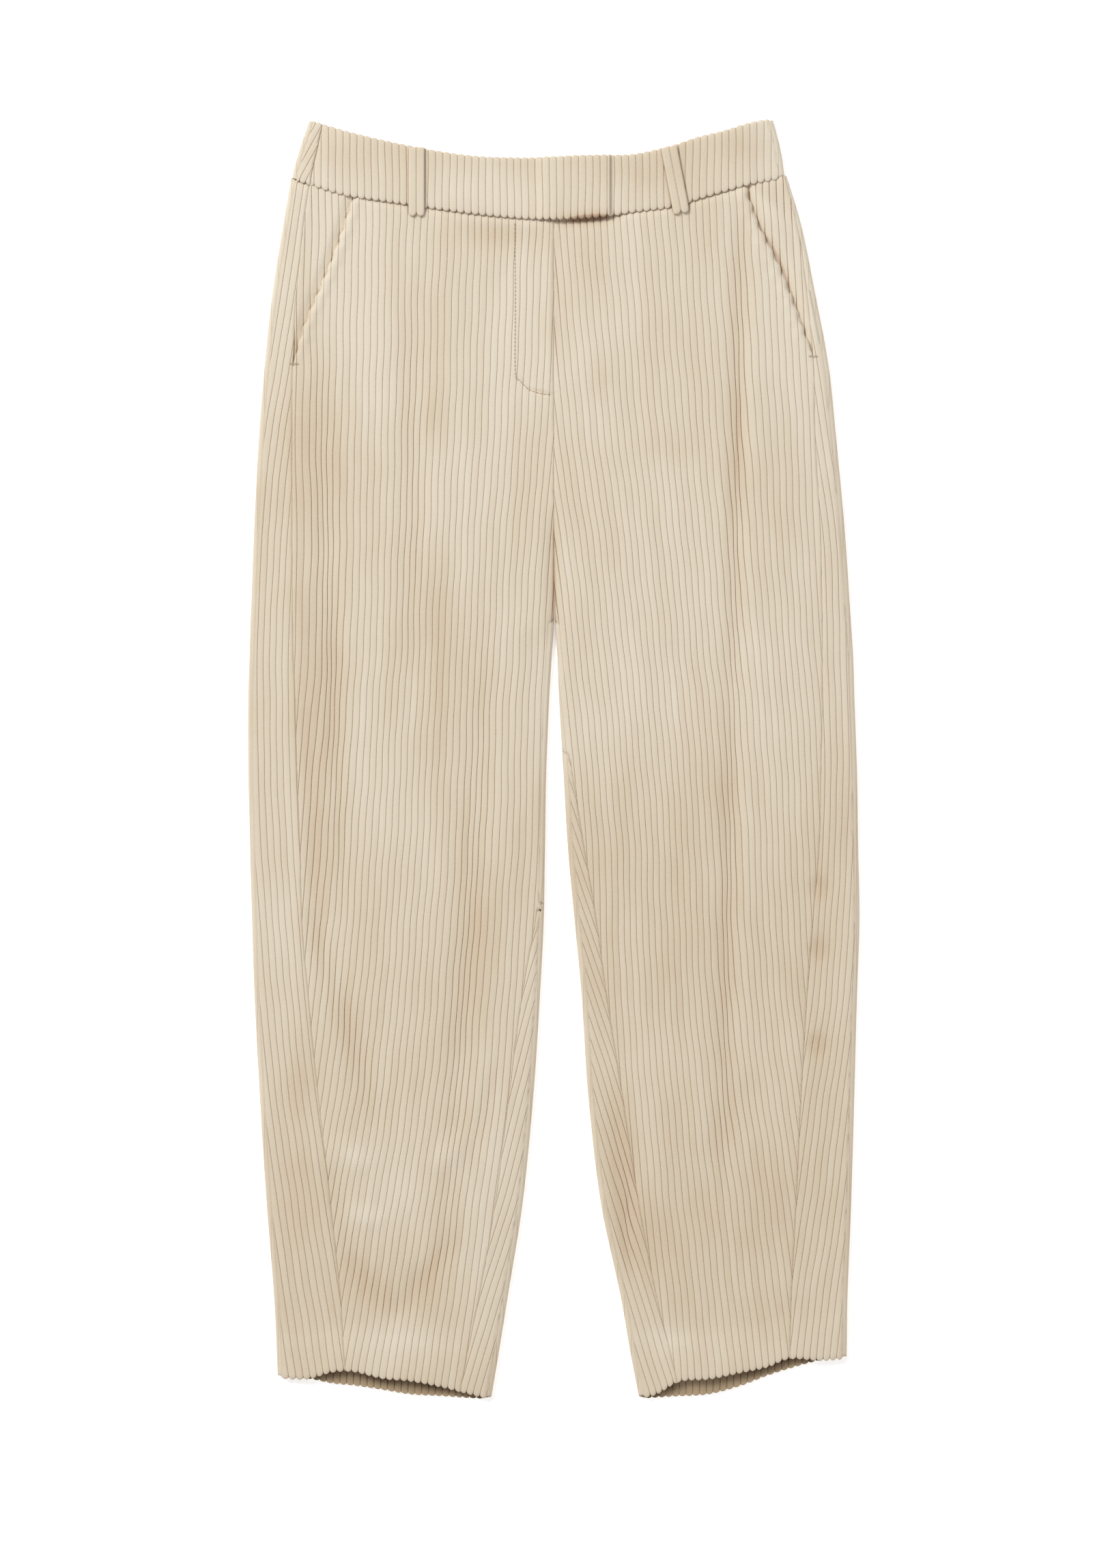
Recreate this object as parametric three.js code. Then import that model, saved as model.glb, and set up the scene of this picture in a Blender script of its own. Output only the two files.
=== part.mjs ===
import * as THREE from "three";

// Corduroy trousers lying flat, front up. Sizes are in millimetres: X runs across the garment, with the
// wearer's right side at minus X, Y runs up towards the waist, and Z rises from the surface it lies on.

const CLOTH = 1.8; // wall between two wales
const WALE = 1.1; // height of a wale over the cloth
const WAIST_WALE = 5.65; // pitch of the wales on the waistband
const EDGE_GAP = 2.6; // hollow between the layers where the cloth turns round an edge
const PUFF = 1.1; // how much wider the hollow is away from the edges
const LEAST_GAP = 0.5; // hollow at the bottom of a fold
const MOST_GAP = 3.8; // and at its highest
const SEAM = 0.3; // space between two sewn pieces
const FOLD_R = CLOTH + EDGE_GAP / 2; // radius of the turned edges
const INNER_R = EDGE_GAP / 2;
const FLAT_TOP = 2 * CLOTH + EDGE_GAP; // height of the upper layer beside an edge
const BAND_RISE = 0.9; // the waistband stands this much over the panels
const TAB_RISE = 3.4; // the overlap tab lies this much over the other end of the waistband
const TAB_X = 44.5; // free end of the tab
const TAB_RAMP = [-16, -4]; // the band climbs onto the tab between these
const FACING_DROP = 1.2; // pocket facing under the panel's edge
const LOOP_THICK = 2.4;
const LOOP_EASE = 0.5; // a belt loop is this much thinner at its two ends
const CREAM = 0xe3d9c4;
const CREAM_SHADE = 0xd9cdb5;

// A table with named columns gives each column as a smooth curve over its first column.
function sections(names, rows) {
  const first = rows.map((r) => r[0]);
  const down = first[1] < first[0];
  return (name, at) => {
    const c = names.indexOf(name);
    const v = rows.map((r) => r[c]);
    const slope = (i) => {
      const a = Math.max(i - 1, 0);
      const b = Math.min(i + 1, v.length - 1);
      return (v[b] - v[a]) / (first[b] - first[a]);
    };
    let i = 0;
    while (i < v.length - 2 && (down ? at < first[i + 1] : at > first[i + 1])) i++;
    const h = first[i + 1] - first[i];
    const s = (at - first[i]) / h;
    if (s < 0) return v[i] + (at - first[i]) * slope(i);
    if (s > 1) return v[i + 1] + (at - first[i + 1]) * slope(i + 1);
    return (
      v[i] * (1 + 2 * s) * (1 - s) ** 2 +
      v[i + 1] * s * s * (3 - 2 * s) +
      h * (slope(i) * s * (1 - s) ** 2 - slope(i + 1) * s * s * (1 - s))
    );
  };
}

const COLUMNS = ["y", "outer", "seam", "inner", "strip", "grain", "pitch", "edgeGrain", "insideGrain"];
// outer and inner are the leg's edges, seam the side seam on top, strip the width of back panel that shows
// inside the inner leg seam, grain a wale of the front and pitch its spacing, edgeGrain a wale of the back
// panel outside the side seam and insideGrain one inside the inner leg seam. X values are for that side.
const RIGHT = sections(COLUMNS, [
  [462.5, -207.5, -192, -0.2, 0, -66.5, 5.45, -191, 260],
  [422, -214.5, -198, -0.2, 0, -67.5, 5.38, -197, 240],
  [368, -223, -203.5, -0.2, 0, -69.5, 5.35, -205, 215],
  [311.5, -229, -206.5, -0.2, 0, -71, 5.29, -214, 190],
  [254.5, -233.5, -207, -0.2, 0, -73.5, 5.24, -223.5, 165],
  [179, -237.5, -207, -0.2, 0, -77.5, 5.02, -230.5, 135],
  [111.5, -240, -206.5, 0, 0, -80.5, 4.94, -233.5, 108],
  [82, -241, -206, -1.6, 0, -81.5, 4.92, -234.5, 97],
  [49.5, -242, -204.5, -3.5, 0, -83.5, 4.92, -234.5, 85],
  [-10, -242, -203, -6, 0, -86, 5, -233.5, 64],
  [-69.5, -240.5, -200.5, -7, 0, -88.5, 5.07, -231.5, 43],
  [-129, -239, -199, -8, 6.5, -92.5, 5.09, -227, 24],
  [-188, -237, -194, -11, 14, -97, 5.13, -222.5, 6],
  [-264, -233, -186.5, -16, 19, -104, 5.24, -214.5, -13],
  [-350, -227.5, -176.5, -24.5, 21.5, -117, 5.37, -202.5, -34.5],
  [-426, -221.5, -168.5, -36.5, 22.5, -128.5, 5.51, -191, -58.5],
  [-466.5, -219.5, -166, -43, 24.5, -135, 5.56, -185, -70.5],
  [-505.5, -218, -162.5, -49.5, 25.5, -141.5, 5.62, -179, -82],
]);
const LEFT = sections(COLUMNS, [
  [462.5, 184, 182.5, 0.2, 0, 88.5, 5.45, 176.5, -215],
  [422, 196, 192.5, 0.2, 0, 91, 5.42, 183, -201],
  [368, 207, 200.5, 0.2, 0, 95, 5.37, 192.5, -183],
  [311.5, 217.5, 205.5, 0.2, 0, 99, 5.32, 203.5, -163],
  [254.5, 223.5, 207, 0.2, 0, 103.5, 5.24, 212, -143],
  [179, 230.5, 211, 0.2, 0, 110.5, 5.02, 223, -117],
  [111.5, 235, 212.5, 0.8, 0, 116.5, 4.91, 226, -94],
  [82, 237, 212.5, 2.8, 0, 119, 4.89, 226.5, -84],
  [49.5, 238, 212.5, 4, 0, 122.5, 4.88, 227.5, -73],
  [-10, 240, 211.5, 7.5, 7, 127, 4.81, 229, -52],
  [-69.5, 241, 210, 11, 13, 130.5, 4.75, 227, -31.5],
  [-129, 242, 205, 16.5, 17.5, 132.5, 4.78, 224, -11.5],
  [-188, 240, 200.5, 22, 20, 136, 4.86, 219.5, 8.5],
  [-264, 238, 196, 27, 27, 144, 5.02, 209, 32.5],
  [-350, 235.5, 192, 37, 30, 155, 5.24, 197.5, 57],
  [-426, 232.5, 188, 53, 28.5, 164, 5.29, 186.5, 80],
  [-466.5, 232, 187, 60, 31.5, 169, 5.35, 181.5, 92],
  [-505.5, 231, 187, 67.5, 33.5, 172.5, 5.4, 176, 104.5],
]);
// Lower seam and top edge of the waistband.
const WAIST = sections(["x", "seam", "top"], [
  [-207, 459.5, 504],
  [-194, 456, 504.5],
  [-179, 451, 500],
  [-162, 446.5, 495],
  [-135.5, 442.5, 488.5],
  [-101.5, 437.5, 481.5],
  [-63.5, 432.5, 476],
  [-27.5, 429, 474.5],
  [-2, 428, 475],
  [21, 429, 476],
  [44.5, 431, 476.5],
  [64, 434, 477.5],
  [95, 438, 484.5],
  [112.5, 443.5, 490.5],
  [134.5, 450, 496],
  [156, 456, 502.5],
  [173.5, 459.5, 505.5],
  [183, 461.5, 504],
]);
// Ends of the waistband and its side seam, which shows on the wearer's right.
const BAND = sections(["y", "right", "seam", "left"], [
  [450, -207, -193, 183],
  [462, -206.8, -191.5, 182.5],
  [482, -201.5, -187, 179.5],
  [506, -193.5, -182, 173.5],
]);
// Hem edges of the front and of the back, which reaches lower.
const HEM_RIGHT = sections(["x", "front", "back"], [
  [-218.5, -487.5, -487.5],
  [-195, -488, -489],
  [-175, -482.5, -493],
  [-159, -482, -494.5],
  [-135.5, -487.5, -498],
  [-114, -489.5, -501.5],
  [-88, -494.5, -503],
  [-65.5, -500.5, -504.5],
  [-48, -505, -505.2],
]);
const HEM_LEFT = sections(["x", "front", "back"], [
  [66.5, -504, -505],
  [81.5, -500, -504],
  [99, -490, -503],
  [122.5, -488, -501.5],
  [147.5, -483, -495],
  [168.5, -478.5, -487],
  [185.5, -472, -481.5],
  [211.5, -473.5, -474.5],
  [232, -472, -473],
]);
// Slanted pocket edges.
const POCKET_RIGHT = sections(["y", "edge"], [
  [446, -158.5],
  [420, -166.5],
  [379.5, -182],
  [341.5, -198],
  [313, -206],
]);
const POCKET_LEFT = sections(["y", "edge"], [
  [455.5, 151.5],
  [426.5, 160],
  [390.5, 178],
  [355, 192],
  [318, 205.5],
]);
// Folds of the upper layer: from, to, half width and depth. Below zero is a trough.
const FOLDS = [
  { x0: -187, y0: 335, x1: -169, y1: -132, wide: 9, deep: -1.5 }, // beside the right side seam
  { x0: -194, y0: -118, x1: -138, y1: -292, wide: 8, deep: -1.7 }, // across the right knee
  { x0: 148, y0: 440, x1: 142, y1: 55, wide: 7, deep: -1.9 }, // down the left thigh
  { x0: 142.5, y0: 115, x1: 133, y1: -345, wide: 7, deep: -1.6 }, // and down the left shin
  { x0: -52, y0: 118, x1: -88, y1: -430, wide: 9, deep: -1.3 }, // right shin
  { x0: -112, y0: 373.5, x1: -114, y1: 60, wide: 8, deep: -1 }, // right thigh
  { x0: -166, y0: -392, x1: -122, y1: -443, wide: 7, deep: -1.9 }, // buckle over the right hem
  { x0: -128, y0: -443, x1: -74, y1: -375, wide: 7, deep: -1.8 }, // and up again
  { x0: 44, y0: -250, x1: 64, y1: -405, wide: 6, deep: -1.1 }, // beside the left inner seam
  { x0: 0, y0: 200, x1: 0, y1: 66, wide: 5, deep: -2.2 }, // centre seam above the fork
];
// Places of the rows down a leg, from the waist seam to the hem.
const LEG_ROWS = [
  0, 0.05, 0.1, 0.135, 0.155, 0.21, 0.28, 0.345, 0.38, 0.45, 0.52, 0.6, 0.68, 0.76, 0.84, 0.93, 1,
];
const FACING_ROWS = 4; // the pocket facing shows beside this many of them
const BAND_ROWS = [0, 0.1, 0.9, 1];
const LOOP_ROWS = sections(["place", "full"], [
  [0, 0],
  [0.06, 0.7],
  [0.2, 1],
  [0.5, 1],
  [0.8, 1],
  [0.94, 0.7],
  [1, 0],
]);
const LOOP_PLACES = [0, 0.06, 0.2, 0.5, 0.8, 0.94, 1];
const LOOP_RIB = [0, 0.8, 1, 0.8, 0, 0.8, 1, 0.8, 0]; // height across the two wales of a belt loop
const LOOP_ACROSS = [-1, -0.8, -0.5, -0.2, 0, 0.2, 0.5, 0.8, 1];
const WALE_POINTS = [0, 0.18, 0.82]; // groove and the two sides of a wale's top, in pitches
const PLAIN_STEP = 3; // the inside has one point for this many wales
const FLOOR_STEPS = 8;
const FORK = [135, 82]; // the legs part between these heights

const clamp = (v, lo, hi) => Math.min(Math.max(v, lo), hi);
const ease = (v) => clamp(v, 0, 1) ** 2 * (3 - 2 * clamp(v, 0, 1));
const mix = (a, b, s) => a + (b - a) * s;

function foldsAt(x, y) {
  return FOLDS.reduce((sum, f) => {
    const [dx, dy] = [f.x1 - f.x0, f.y1 - f.y0];
    const s = ((x - f.x0) * dx + (y - f.y0) * dy) / (dx * dx + dy * dy);
    const off = ((x - f.x0) * dy - (y - f.y0) * dx) / Math.hypot(dx, dy);
    return sum + f.deep * Math.exp(-0.5 * (off / f.wide) ** 2) * Math.sin(Math.PI * clamp(s, 0, 1)) ** 0.6;
  }, 0);
}

// Height over a turned edge at a distance from it.
const round = (d) => FOLD_R + FOLD_R * Math.sqrt(1 - (1 - clamp(d / FOLD_R, 0, 1)) ** 2);

// One side of the garment, with side -1 for the wearer's right and 1 for the left.
function legOf(side, table, hem, pocket) {
  const parted = (y) => ease((FORK[0] - y) / (FORK[0] - FORK[1]));
  const strip = (y) => (table("strip", y) < 5 ? 0 : table("strip", y));
  const leg = {
    side,
    table,
    parted,
    yTop: (x, t) => mix(WAIST("seam", x) - SEAM, hem("front", x), t),
    yUnder: (x, t) => mix(WAIST("seam", x) - SEAM, hem("back", x), t),
    outer: (y) => table("outer", y),
    inner: (y) => table("inner", y),
    seam: (y) => table("seam", y),
    inseam: (y) => table("inner", y) + side * strip(y),
    hasStrip: (y) => strip(y) > 0,
    pocket: (y) => pocket("edge", y),
    // Height of the cloth's upper face between two wales.
    height(x, y) {
      const out = side * (leg.outer(y) - x);
      const inn = side * (x - leg.inner(y));
      const p = parted(y);
      const away = Math.min(out, inn + (1 - p) * 80);
      const gap = EDGE_GAP + PUFF * ease((away - FOLD_R) / 50) + foldsAt(x, y) * ease((away - FOLD_R) / 12);
      const top = 2 * CLOTH + clamp(gap, LEAST_GAP, MOST_GAP);
      const drop = Math.min(round(out), mix(FLAT_TOP, round(inn), p)) - FLAT_TOP;
      return top + drop;
    },
  };
  return leg;
}

// The x where a boundary crosses a row.
function cross(edge, rowY) {
  let x = edge(0);
  for (let i = 0; i < 12; i++) x = edge(rowY(x));
  return x;
}

// Points along a row of the upper layer from one boundary to the other, on the wales of one grain.
// Keys grow along the row: the wale's number times the direction.
function waleLine({ rowY, from, to, grain, pitch, height, base = 0, margin = 0.17, plain = false }) {
  const dir = Math.sign(to - from);
  const waleAt = (x) => (dir * (x - grain(rowY(x)))) / pitch(rowY(x));
  const xOf = (u) => {
    let x = (from + to) / 2;
    for (let i = 0; i < 12; i++) x = grain(rowY(x)) + dir * u * pitch(rowY(x));
    return x;
  };
  const [ua, ub] = [waleAt(from), waleAt(to)];
  const line = [];
  const put = (u, x, up) => line.push({ key: base + u, x, y: rowY(x), z: height(x, rowY(x)) + up });
  const sink = plain ? -CLOTH : 0;
  put(ua, from, sink);
  for (let n = Math.floor(ua) - 1; n < ub + 1; n++) {
    if (plain && n % PLAIN_STEP) continue;
    for (const s of plain ? [0] : WALE_POINTS) {
      if (n + s < ua + margin || n + s > ub - margin) continue;
      put(n + s, xOf(n + s), s ? WALE : sink);
    }
  }
  put(ub, to, sink);
  return line;
}

// A closed wall from rows of outer and inner points, both in the order of their keys.
function wall(name, colour, rows) {
  const position = [];
  const index = [];
  const put = (p) => position.push(p.x, p.y, p.z) / 3 - 1;
  const face = (a, b, c) => index.push(a.id, b.id, c.id);
  for (const row of rows) for (const p of [...row.outer, ...row.inner]) p.id = put(p);
  const join = (a, b, turn) => {
    let [i, j] = [0, 0];
    const tri = (p, q, r) => (turn ? face(p, r, q) : face(p, q, r));
    while (i < a.length - 1 || j < b.length - 1) {
      const ka = i < a.length - 1 ? a[i + 1].key : Infinity;
      const kb = j < b.length - 1 ? b[j + 1].key : Infinity;
      if (ka <= kb) tri(a[i], b[j], a[++i]);
      else tri(a[i], b[j], b[++j]);
    }
  };
  const rim = (edge) => edge.map((p, i) => ({ ...p, key: i }));
  for (let r = 0; r < rows.length - 1; r++) {
    join(rows[r].outer, rows[r + 1].outer, false);
    join(rows[r].inner, rows[r + 1].inner, true);
  }
  const last = rows.length - 1;
  join(rows[0].inner, rows[0].outer, false);
  join(rows[last].outer, rows[last].inner, false);
  join(rim(rows.map((r) => r.outer[0])), rim(rows.map((r) => r.inner[0])), false);
  join(rim(rows.map((r) => r.inner.at(-1))), rim(rows.map((r) => r.outer.at(-1))), false);
  const geometry = new THREE.BufferGeometry();
  geometry.setAttribute("position", new THREE.Float32BufferAttribute(position, 3));
  if (volume(position, index) < 0) for (let i = 0; i < index.length; i += 3) swap(index, i);
  geometry.setIndex(index);
  geometry.computeVertexNormals();
  const material = new THREE.MeshStandardMaterial({ color: colour, roughness: 0.95, metalness: 0 });
  const mesh = new THREE.Mesh(geometry, material);
  mesh.name = name;
  return mesh;
}

function swap(index, i) {
  [index[i + 1], index[i + 2]] = [index[i + 2], index[i + 1]];
}

function volume(position, index) {
  const at = (i) => new THREE.Vector3().fromArray(position, 3 * i);
  let sum = 0;
  for (let i = 0; i < index.length; i += 3)
    sum += at(index[i]).dot(at(index[i + 1]).cross(at(index[i + 2])));
  return sum;
}

// The rounded end of an upper layer that turns down at an edge. Keys follow on from 980.
function turnedEnd(line, leg, edgeX, rowY, toward, plain) {
  const y = rowY(edgeX);
  const place = (d, z, key) => line.push({ key, x: edgeX - toward * d, y: rowY(edgeX - toward * d), z });
  const top = leg.height(edgeX - toward * FOLD_R, y);
  if (plain) {
    place(CLOTH + INNER_R, top - CLOTH, 980);
    place(CLOTH, FOLD_R + SEAM / 2, 1000);
  } else {
    place(FOLD_R, top, 980);
    place(0.29 * FOLD_R, 1.707 * FOLD_R, 990);
    place(0, FOLD_R + SEAM / 2, 1000);
  }
  return line;
}

// A front panel: from the side seam or pocket edge to the centre seam, inner edge or inner leg seam.
function frontPanel(name, leg) {
  const rows = LEG_ROWS.map((t) => {
    const rowY = (x) => leg.yTop(x, t);
    const seam = cross(leg.seam, rowY);
    const slant = cross(leg.pocket, rowY);
    const from = leg.side * slant < leg.side * seam ? slant : seam;
    const edge = cross(leg.inner, rowY);
    const stripped = leg.hasStrip(rowY(edge));
    const turned = !stripped && leg.parted(rowY(edge)) > 0.5;
    const to = stripped ? cross(leg.inseam, rowY) : turned ? edge + leg.side * (FOLD_R + 1.6) : edge;
    const make = (plain) => {
      const line = waleLine({
        rowY,
        from,
        to,
        grain: (y) => leg.table("grain", y),
        pitch: (y) => leg.table("pitch", y),
        height: leg.height,
        plain,
      });
      if (!turned) return line;
      return turnedEnd(line, leg, edge, rowY, -leg.side, plain);
    };
    return { outer: make(false), inner: make(true) };
  });
  return wall(name, CREAM, rows);
}

// A back panel: the strip outside the side seam, round the outer edge, flat along the surface, and up
// round the inner edge to the inner leg seam, or to the centre seam above the fork.
function backPanel(name, leg) {
  const s = leg.side;
  const rows = LEG_ROWS.map((t) => {
    const rowY = (x) => leg.yTop(x, t);
    const underY = (x) => leg.yUnder(x, t);
    const seam = cross(leg.seam, rowY) + s * SEAM;
    const outer = cross(leg.outer, rowY);
    const edge = cross(leg.inner, rowY);
    const stripped = leg.hasStrip(rowY(edge));
    const inseam = cross(leg.inseam, rowY) - s * SEAM;
    const p = leg.parted(rowY(edge));
    const make = (plain) => {
      const line = [];
      const add = (key, x, z, y = underY) => line.push({ key, x, y: y(x), z });
      const strip = (from, to, grain, base) =>
        waleLine({
          rowY,
          from,
          to,
          grain: (y) => leg.table(grain, y),
          pitch: (y) => leg.table("pitch", y),
          height: leg.height,
          base,
          plain,
        });
      const width = s * (outer - seam);
      const narrow = width <= CLOTH + INNER_R + 0.6;
      const sunk = plain ? CLOTH * (narrow ? 0.9 : 1) : 0;
      if (width > FOLD_R + 4) line.push(...strip(seam, outer - s * (FOLD_R + 1.6), "edgeGrain", 0));
      else add(-50, seam, leg.height(seam, rowY(seam)) - sunk, rowY);
      const deep = (d) => outer - s * d;
      const broad = width > FOLD_R + 1;
      if (plain) {
        if (!narrow) add(980, deep(CLOTH + INNER_R), FLAT_TOP - CLOTH, rowY);
        add(1000, deep(CLOTH), FOLD_R, rowY);
        add(1010, deep(CLOTH + INNER_R), CLOTH);
      } else {
        if (broad) add(980, deep(FOLD_R), FLAT_TOP, rowY);
        if (width > 0.29 * FOLD_R + 0.4) add(990, deep(0.29 * FOLD_R), 1.707 * FOLD_R, rowY);
        add(1000, outer, FOLD_R, rowY);
        add(1005, deep(0.29 * FOLD_R), 0.293 * FOLD_R);
        add(1010, deep(FOLD_R), 0);
      }
      const [a, b] = [deep(FOLD_R), edge + s * (p * FOLD_R + 3)];
      for (let i = 1; i <= FLOOR_STEPS; i++) add(1100 + i, mix(a, b, i / FLOOR_STEPS), plain ? CLOTH : 0);
      const end = (d) => edge + s * d;
      if (plain) {
        add(1990, end(mix(0.8, CLOTH + INNER_R, p)), CLOTH);
        add(2000, end(p * CLOTH), mix(CLOTH, FOLD_R - SEAM / 2, p), rowY);
      } else {
        add(1985, end(mix(1.6, FOLD_R, p)), 0);
        add(1995, end(mix(0.7, 0.29 * FOLD_R, p)), p * 0.293 * FOLD_R);
        add(2000, edge, p * (FOLD_R - SEAM / 2), rowY);
      }
      if (!stripped) return line;
      if (plain) add(2010, end(CLOTH + INNER_R), FLAT_TOP - CLOTH, rowY);
      else {
        add(2005, end(0.29 * FOLD_R), 1.707 * FOLD_R, rowY);
        add(2010, end(FOLD_R), FLAT_TOP, rowY);
      }
      line.push(...strip(end(FOLD_R + 1.6), inseam, "insideGrain", 3000));
      return line;
    };
    return { outer: make(false), inner: make(true) };
  });
  return wall(name, CREAM, rows);
}

// The cloth behind a slanted pocket edge, down to where the edge meets the side seam.
function pocketFacing(name, leg) {
  const rows = LEG_ROWS.slice(0, FACING_ROWS).map((t) => {
    const rowY = (x) => leg.yTop(x, t);
    const from = cross(leg.seam, rowY);
    const to = cross(leg.pocket, rowY) + leg.side * SEAM;
    const make = (plain) =>
      waleLine({
        rowY,
        from,
        to,
        grain: (y) => leg.table("grain", y),
        pitch: (y) => leg.table("pitch", y),
        height: (x, y) => leg.height(x, y) - FACING_DROP * ease((leg.side * (from - x)) / 6),
        plain,
      });
    return { outer: make(false), inner: make(true) };
  });
  return wall(name, CREAM_SHADE, rows);
}

const bandRight = (y) => BAND("right", y);
const bandLeft = (y) => BAND("left", y);
const bandRow = (t) => (x) => mix(WAIST("seam", x) + SEAM, WAIST("top", x), t);

// Height of the waistband's upper layer: rounded at its ends and eased at its long edges.
function bandHeight(t, rise) {
  const roll = t < 0.05 || t > 0.95 ? -0.6 : 0;
  return (x, y) => {
    const away = Math.min(x - bandRight(y), bandLeft(y) - x);
    const gap = EDGE_GAP + (PUFF * 0.4 + BAND_RISE) * ease((away - FOLD_R) / 30);
    return 2 * CLOTH + gap + roll + rise(x) + round(away) - FLAT_TOP;
  };
}

function bandFront(name, from, to, rise, turned) {
  const rows = BAND_ROWS.map((t) => {
    const rowY = bandRow(t);
    const end = cross(to, rowY);
    const make = (plain) => {
      const height = bandHeight(t, rise);
      const line = waleLine({
        rowY,
        from: cross(from, rowY),
        to: turned ? end - FOLD_R - 1.6 : end,
        grain: () => 2.6,
        pitch: () => WAIST_WALE,
        height,
        plain,
      });
      return turned ? turnedEnd(line, { height }, end, rowY, 1, plain) : line;
    };
    return { outer: make(false), inner: make(true) };
  });
  return wall(name, CREAM, rows);
}

// The back of the waistband: flat along the surface, up round both ends, and onto the front as far as the
// side seam on the wearer's right, with its wales slanting there.
function bandBack(name) {
  const rows = BAND_ROWS.map((t) => {
    const rowY = bandRow(t);
    const underY = (x) => rowY(x) - 1.5 * t;
    const [right, left] = [cross(bandRight, rowY), cross(bandLeft, rowY)];
    const seam = cross((y) => BAND("seam", y), rowY) - SEAM;
    const make = (plain) => {
      const line = [];
      const add = (key, x, z, y = underY) => line.push({ key, x, y: y(x), z });
      if (plain) {
        add(0, left - CLOTH, FOLD_R - SEAM / 2, rowY);
        add(10, left - CLOTH - INNER_R, CLOTH);
      } else {
        add(0, left, FOLD_R - SEAM / 2, rowY);
        add(5, left - 0.29 * FOLD_R, 0.293 * FOLD_R);
        add(10, left - FOLD_R, 0);
      }
      const steps = FLOOR_STEPS + 4;
      for (let i = 1; i < steps; i++)
        add(100 + i, mix(left - FOLD_R, right + FOLD_R, i / steps), plain ? CLOTH : 0);
      if (plain) {
        add(900, right + CLOTH + INNER_R, CLOTH);
        add(910, right + CLOTH, FOLD_R, rowY);
        add(920, right + CLOTH + INNER_R, FLAT_TOP - CLOTH, rowY);
      } else {
        add(900, right + FOLD_R, 0);
        add(905, right + 0.29 * FOLD_R, 0.293 * FOLD_R);
        add(910, right, FOLD_R, rowY);
        add(915, right + 0.29 * FOLD_R, 1.707 * FOLD_R, rowY);
        add(920, right + FOLD_R, FLAT_TOP, rowY);
      }
      const strip = {
        rowY,
        from: right + FOLD_R + 1.6,
        to: seam,
        grain: (y) => -195 + (y - 480) * 0.55,
        pitch: () => WAIST_WALE,
        height: bandHeight(t, () => 0),
        base: 3000,
        plain,
      };
      line.push(...waleLine(strip));
      return line;
    };
    return { outer: make(false), inner: make(true) };
  });
  return wall(name, CREAM, rows);
}

// A belt loop: two wales wide, over the waistband and a little way onto the panel.
function beltLoop(name, leg, top, foot, halfWidth) {
  const bed = (x, y) => {
    const band = bandHeight(0.5, tabRise)(x, y);
    return mix(leg.height(x, y), band, ease((y - WAIST("seam", x) + 3) / 3)) + WALE + SEAM;
  };
  const rows = LOOP_PLACES.map((t) => {
    const x = mix(top.x, foot.x, t);
    const y = mix(top.y, foot.y, t);
    const high = Math.max(...LOOP_ACROSS.map((a) => bed(x + a * halfWidth, y)));
    const flat = high + LOOP_THICK - WALE * 0.7 - LOOP_EASE * (1 - LOOP_ROWS("full", t));
    const outer = LOOP_ACROSS.map((a, i) => ({
      key: i,
      x: x + a * halfWidth,
      y: y + a * leg.side * 1.4,
      z: flat + LOOP_RIB[i] * WALE * 0.7,
    }));
    const inner = [0, 4, 8].map((i) => ({ ...outer[i], z: high }));
    return { outer, inner };
  });
  return wall(name, CREAM, rows);
}

const tabRise = (x) => (x > TAB_X ? 0 : TAB_RISE * ease((x - TAB_RAMP[0]) / (TAB_RAMP[1] - TAB_RAMP[0])));
const right = legOf(-1, RIGHT, HEM_RIGHT, POCKET_RIGHT);
const left = legOf(1, LEFT, HEM_LEFT, POCKET_LEFT);

const group = new THREE.Group();
group.name = "corduroy_trousers";
group.add(
  frontPanel("front_right", right),
  frontPanel("front_left", left),
  backPanel("back_right", right),
  backPanel("back_left", left),
  pocketFacing("pocket_facing_right", right),
  pocketFacing("pocket_facing_left", left),
  bandFront("waistband_front_right", (y) => BAND("seam", y), () => TAB_X, tabRise, false),
  bandFront("waistband_front_left", () => -1.6, bandLeft, () => 0, true),
  bandBack("waistband_back"),
  beltLoop("belt_loop_right", right, { x: -108.5, y: 480.5 }, { x: -108.5, y: 432 }, 6.5),
  beltLoop("belt_loop_left", left, { x: 91, y: 481 }, { x: 100.5, y: 434 }, 6.5),
);

export default group;
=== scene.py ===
import bpy
import numpy as np
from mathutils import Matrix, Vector


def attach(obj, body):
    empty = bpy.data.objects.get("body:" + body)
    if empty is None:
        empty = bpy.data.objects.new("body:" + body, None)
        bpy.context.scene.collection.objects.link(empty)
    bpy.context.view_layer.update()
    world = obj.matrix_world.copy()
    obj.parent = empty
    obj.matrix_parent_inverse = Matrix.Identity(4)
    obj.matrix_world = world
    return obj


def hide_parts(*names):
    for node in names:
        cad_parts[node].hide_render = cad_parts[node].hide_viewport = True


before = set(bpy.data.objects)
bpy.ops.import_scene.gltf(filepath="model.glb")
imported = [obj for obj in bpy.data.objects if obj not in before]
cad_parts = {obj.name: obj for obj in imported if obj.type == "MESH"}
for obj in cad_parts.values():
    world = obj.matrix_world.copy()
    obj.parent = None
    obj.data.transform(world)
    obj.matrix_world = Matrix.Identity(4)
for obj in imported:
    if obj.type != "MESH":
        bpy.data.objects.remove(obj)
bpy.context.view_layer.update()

MM = 0.001  # tables are written in millimetres and read in metres

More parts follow.
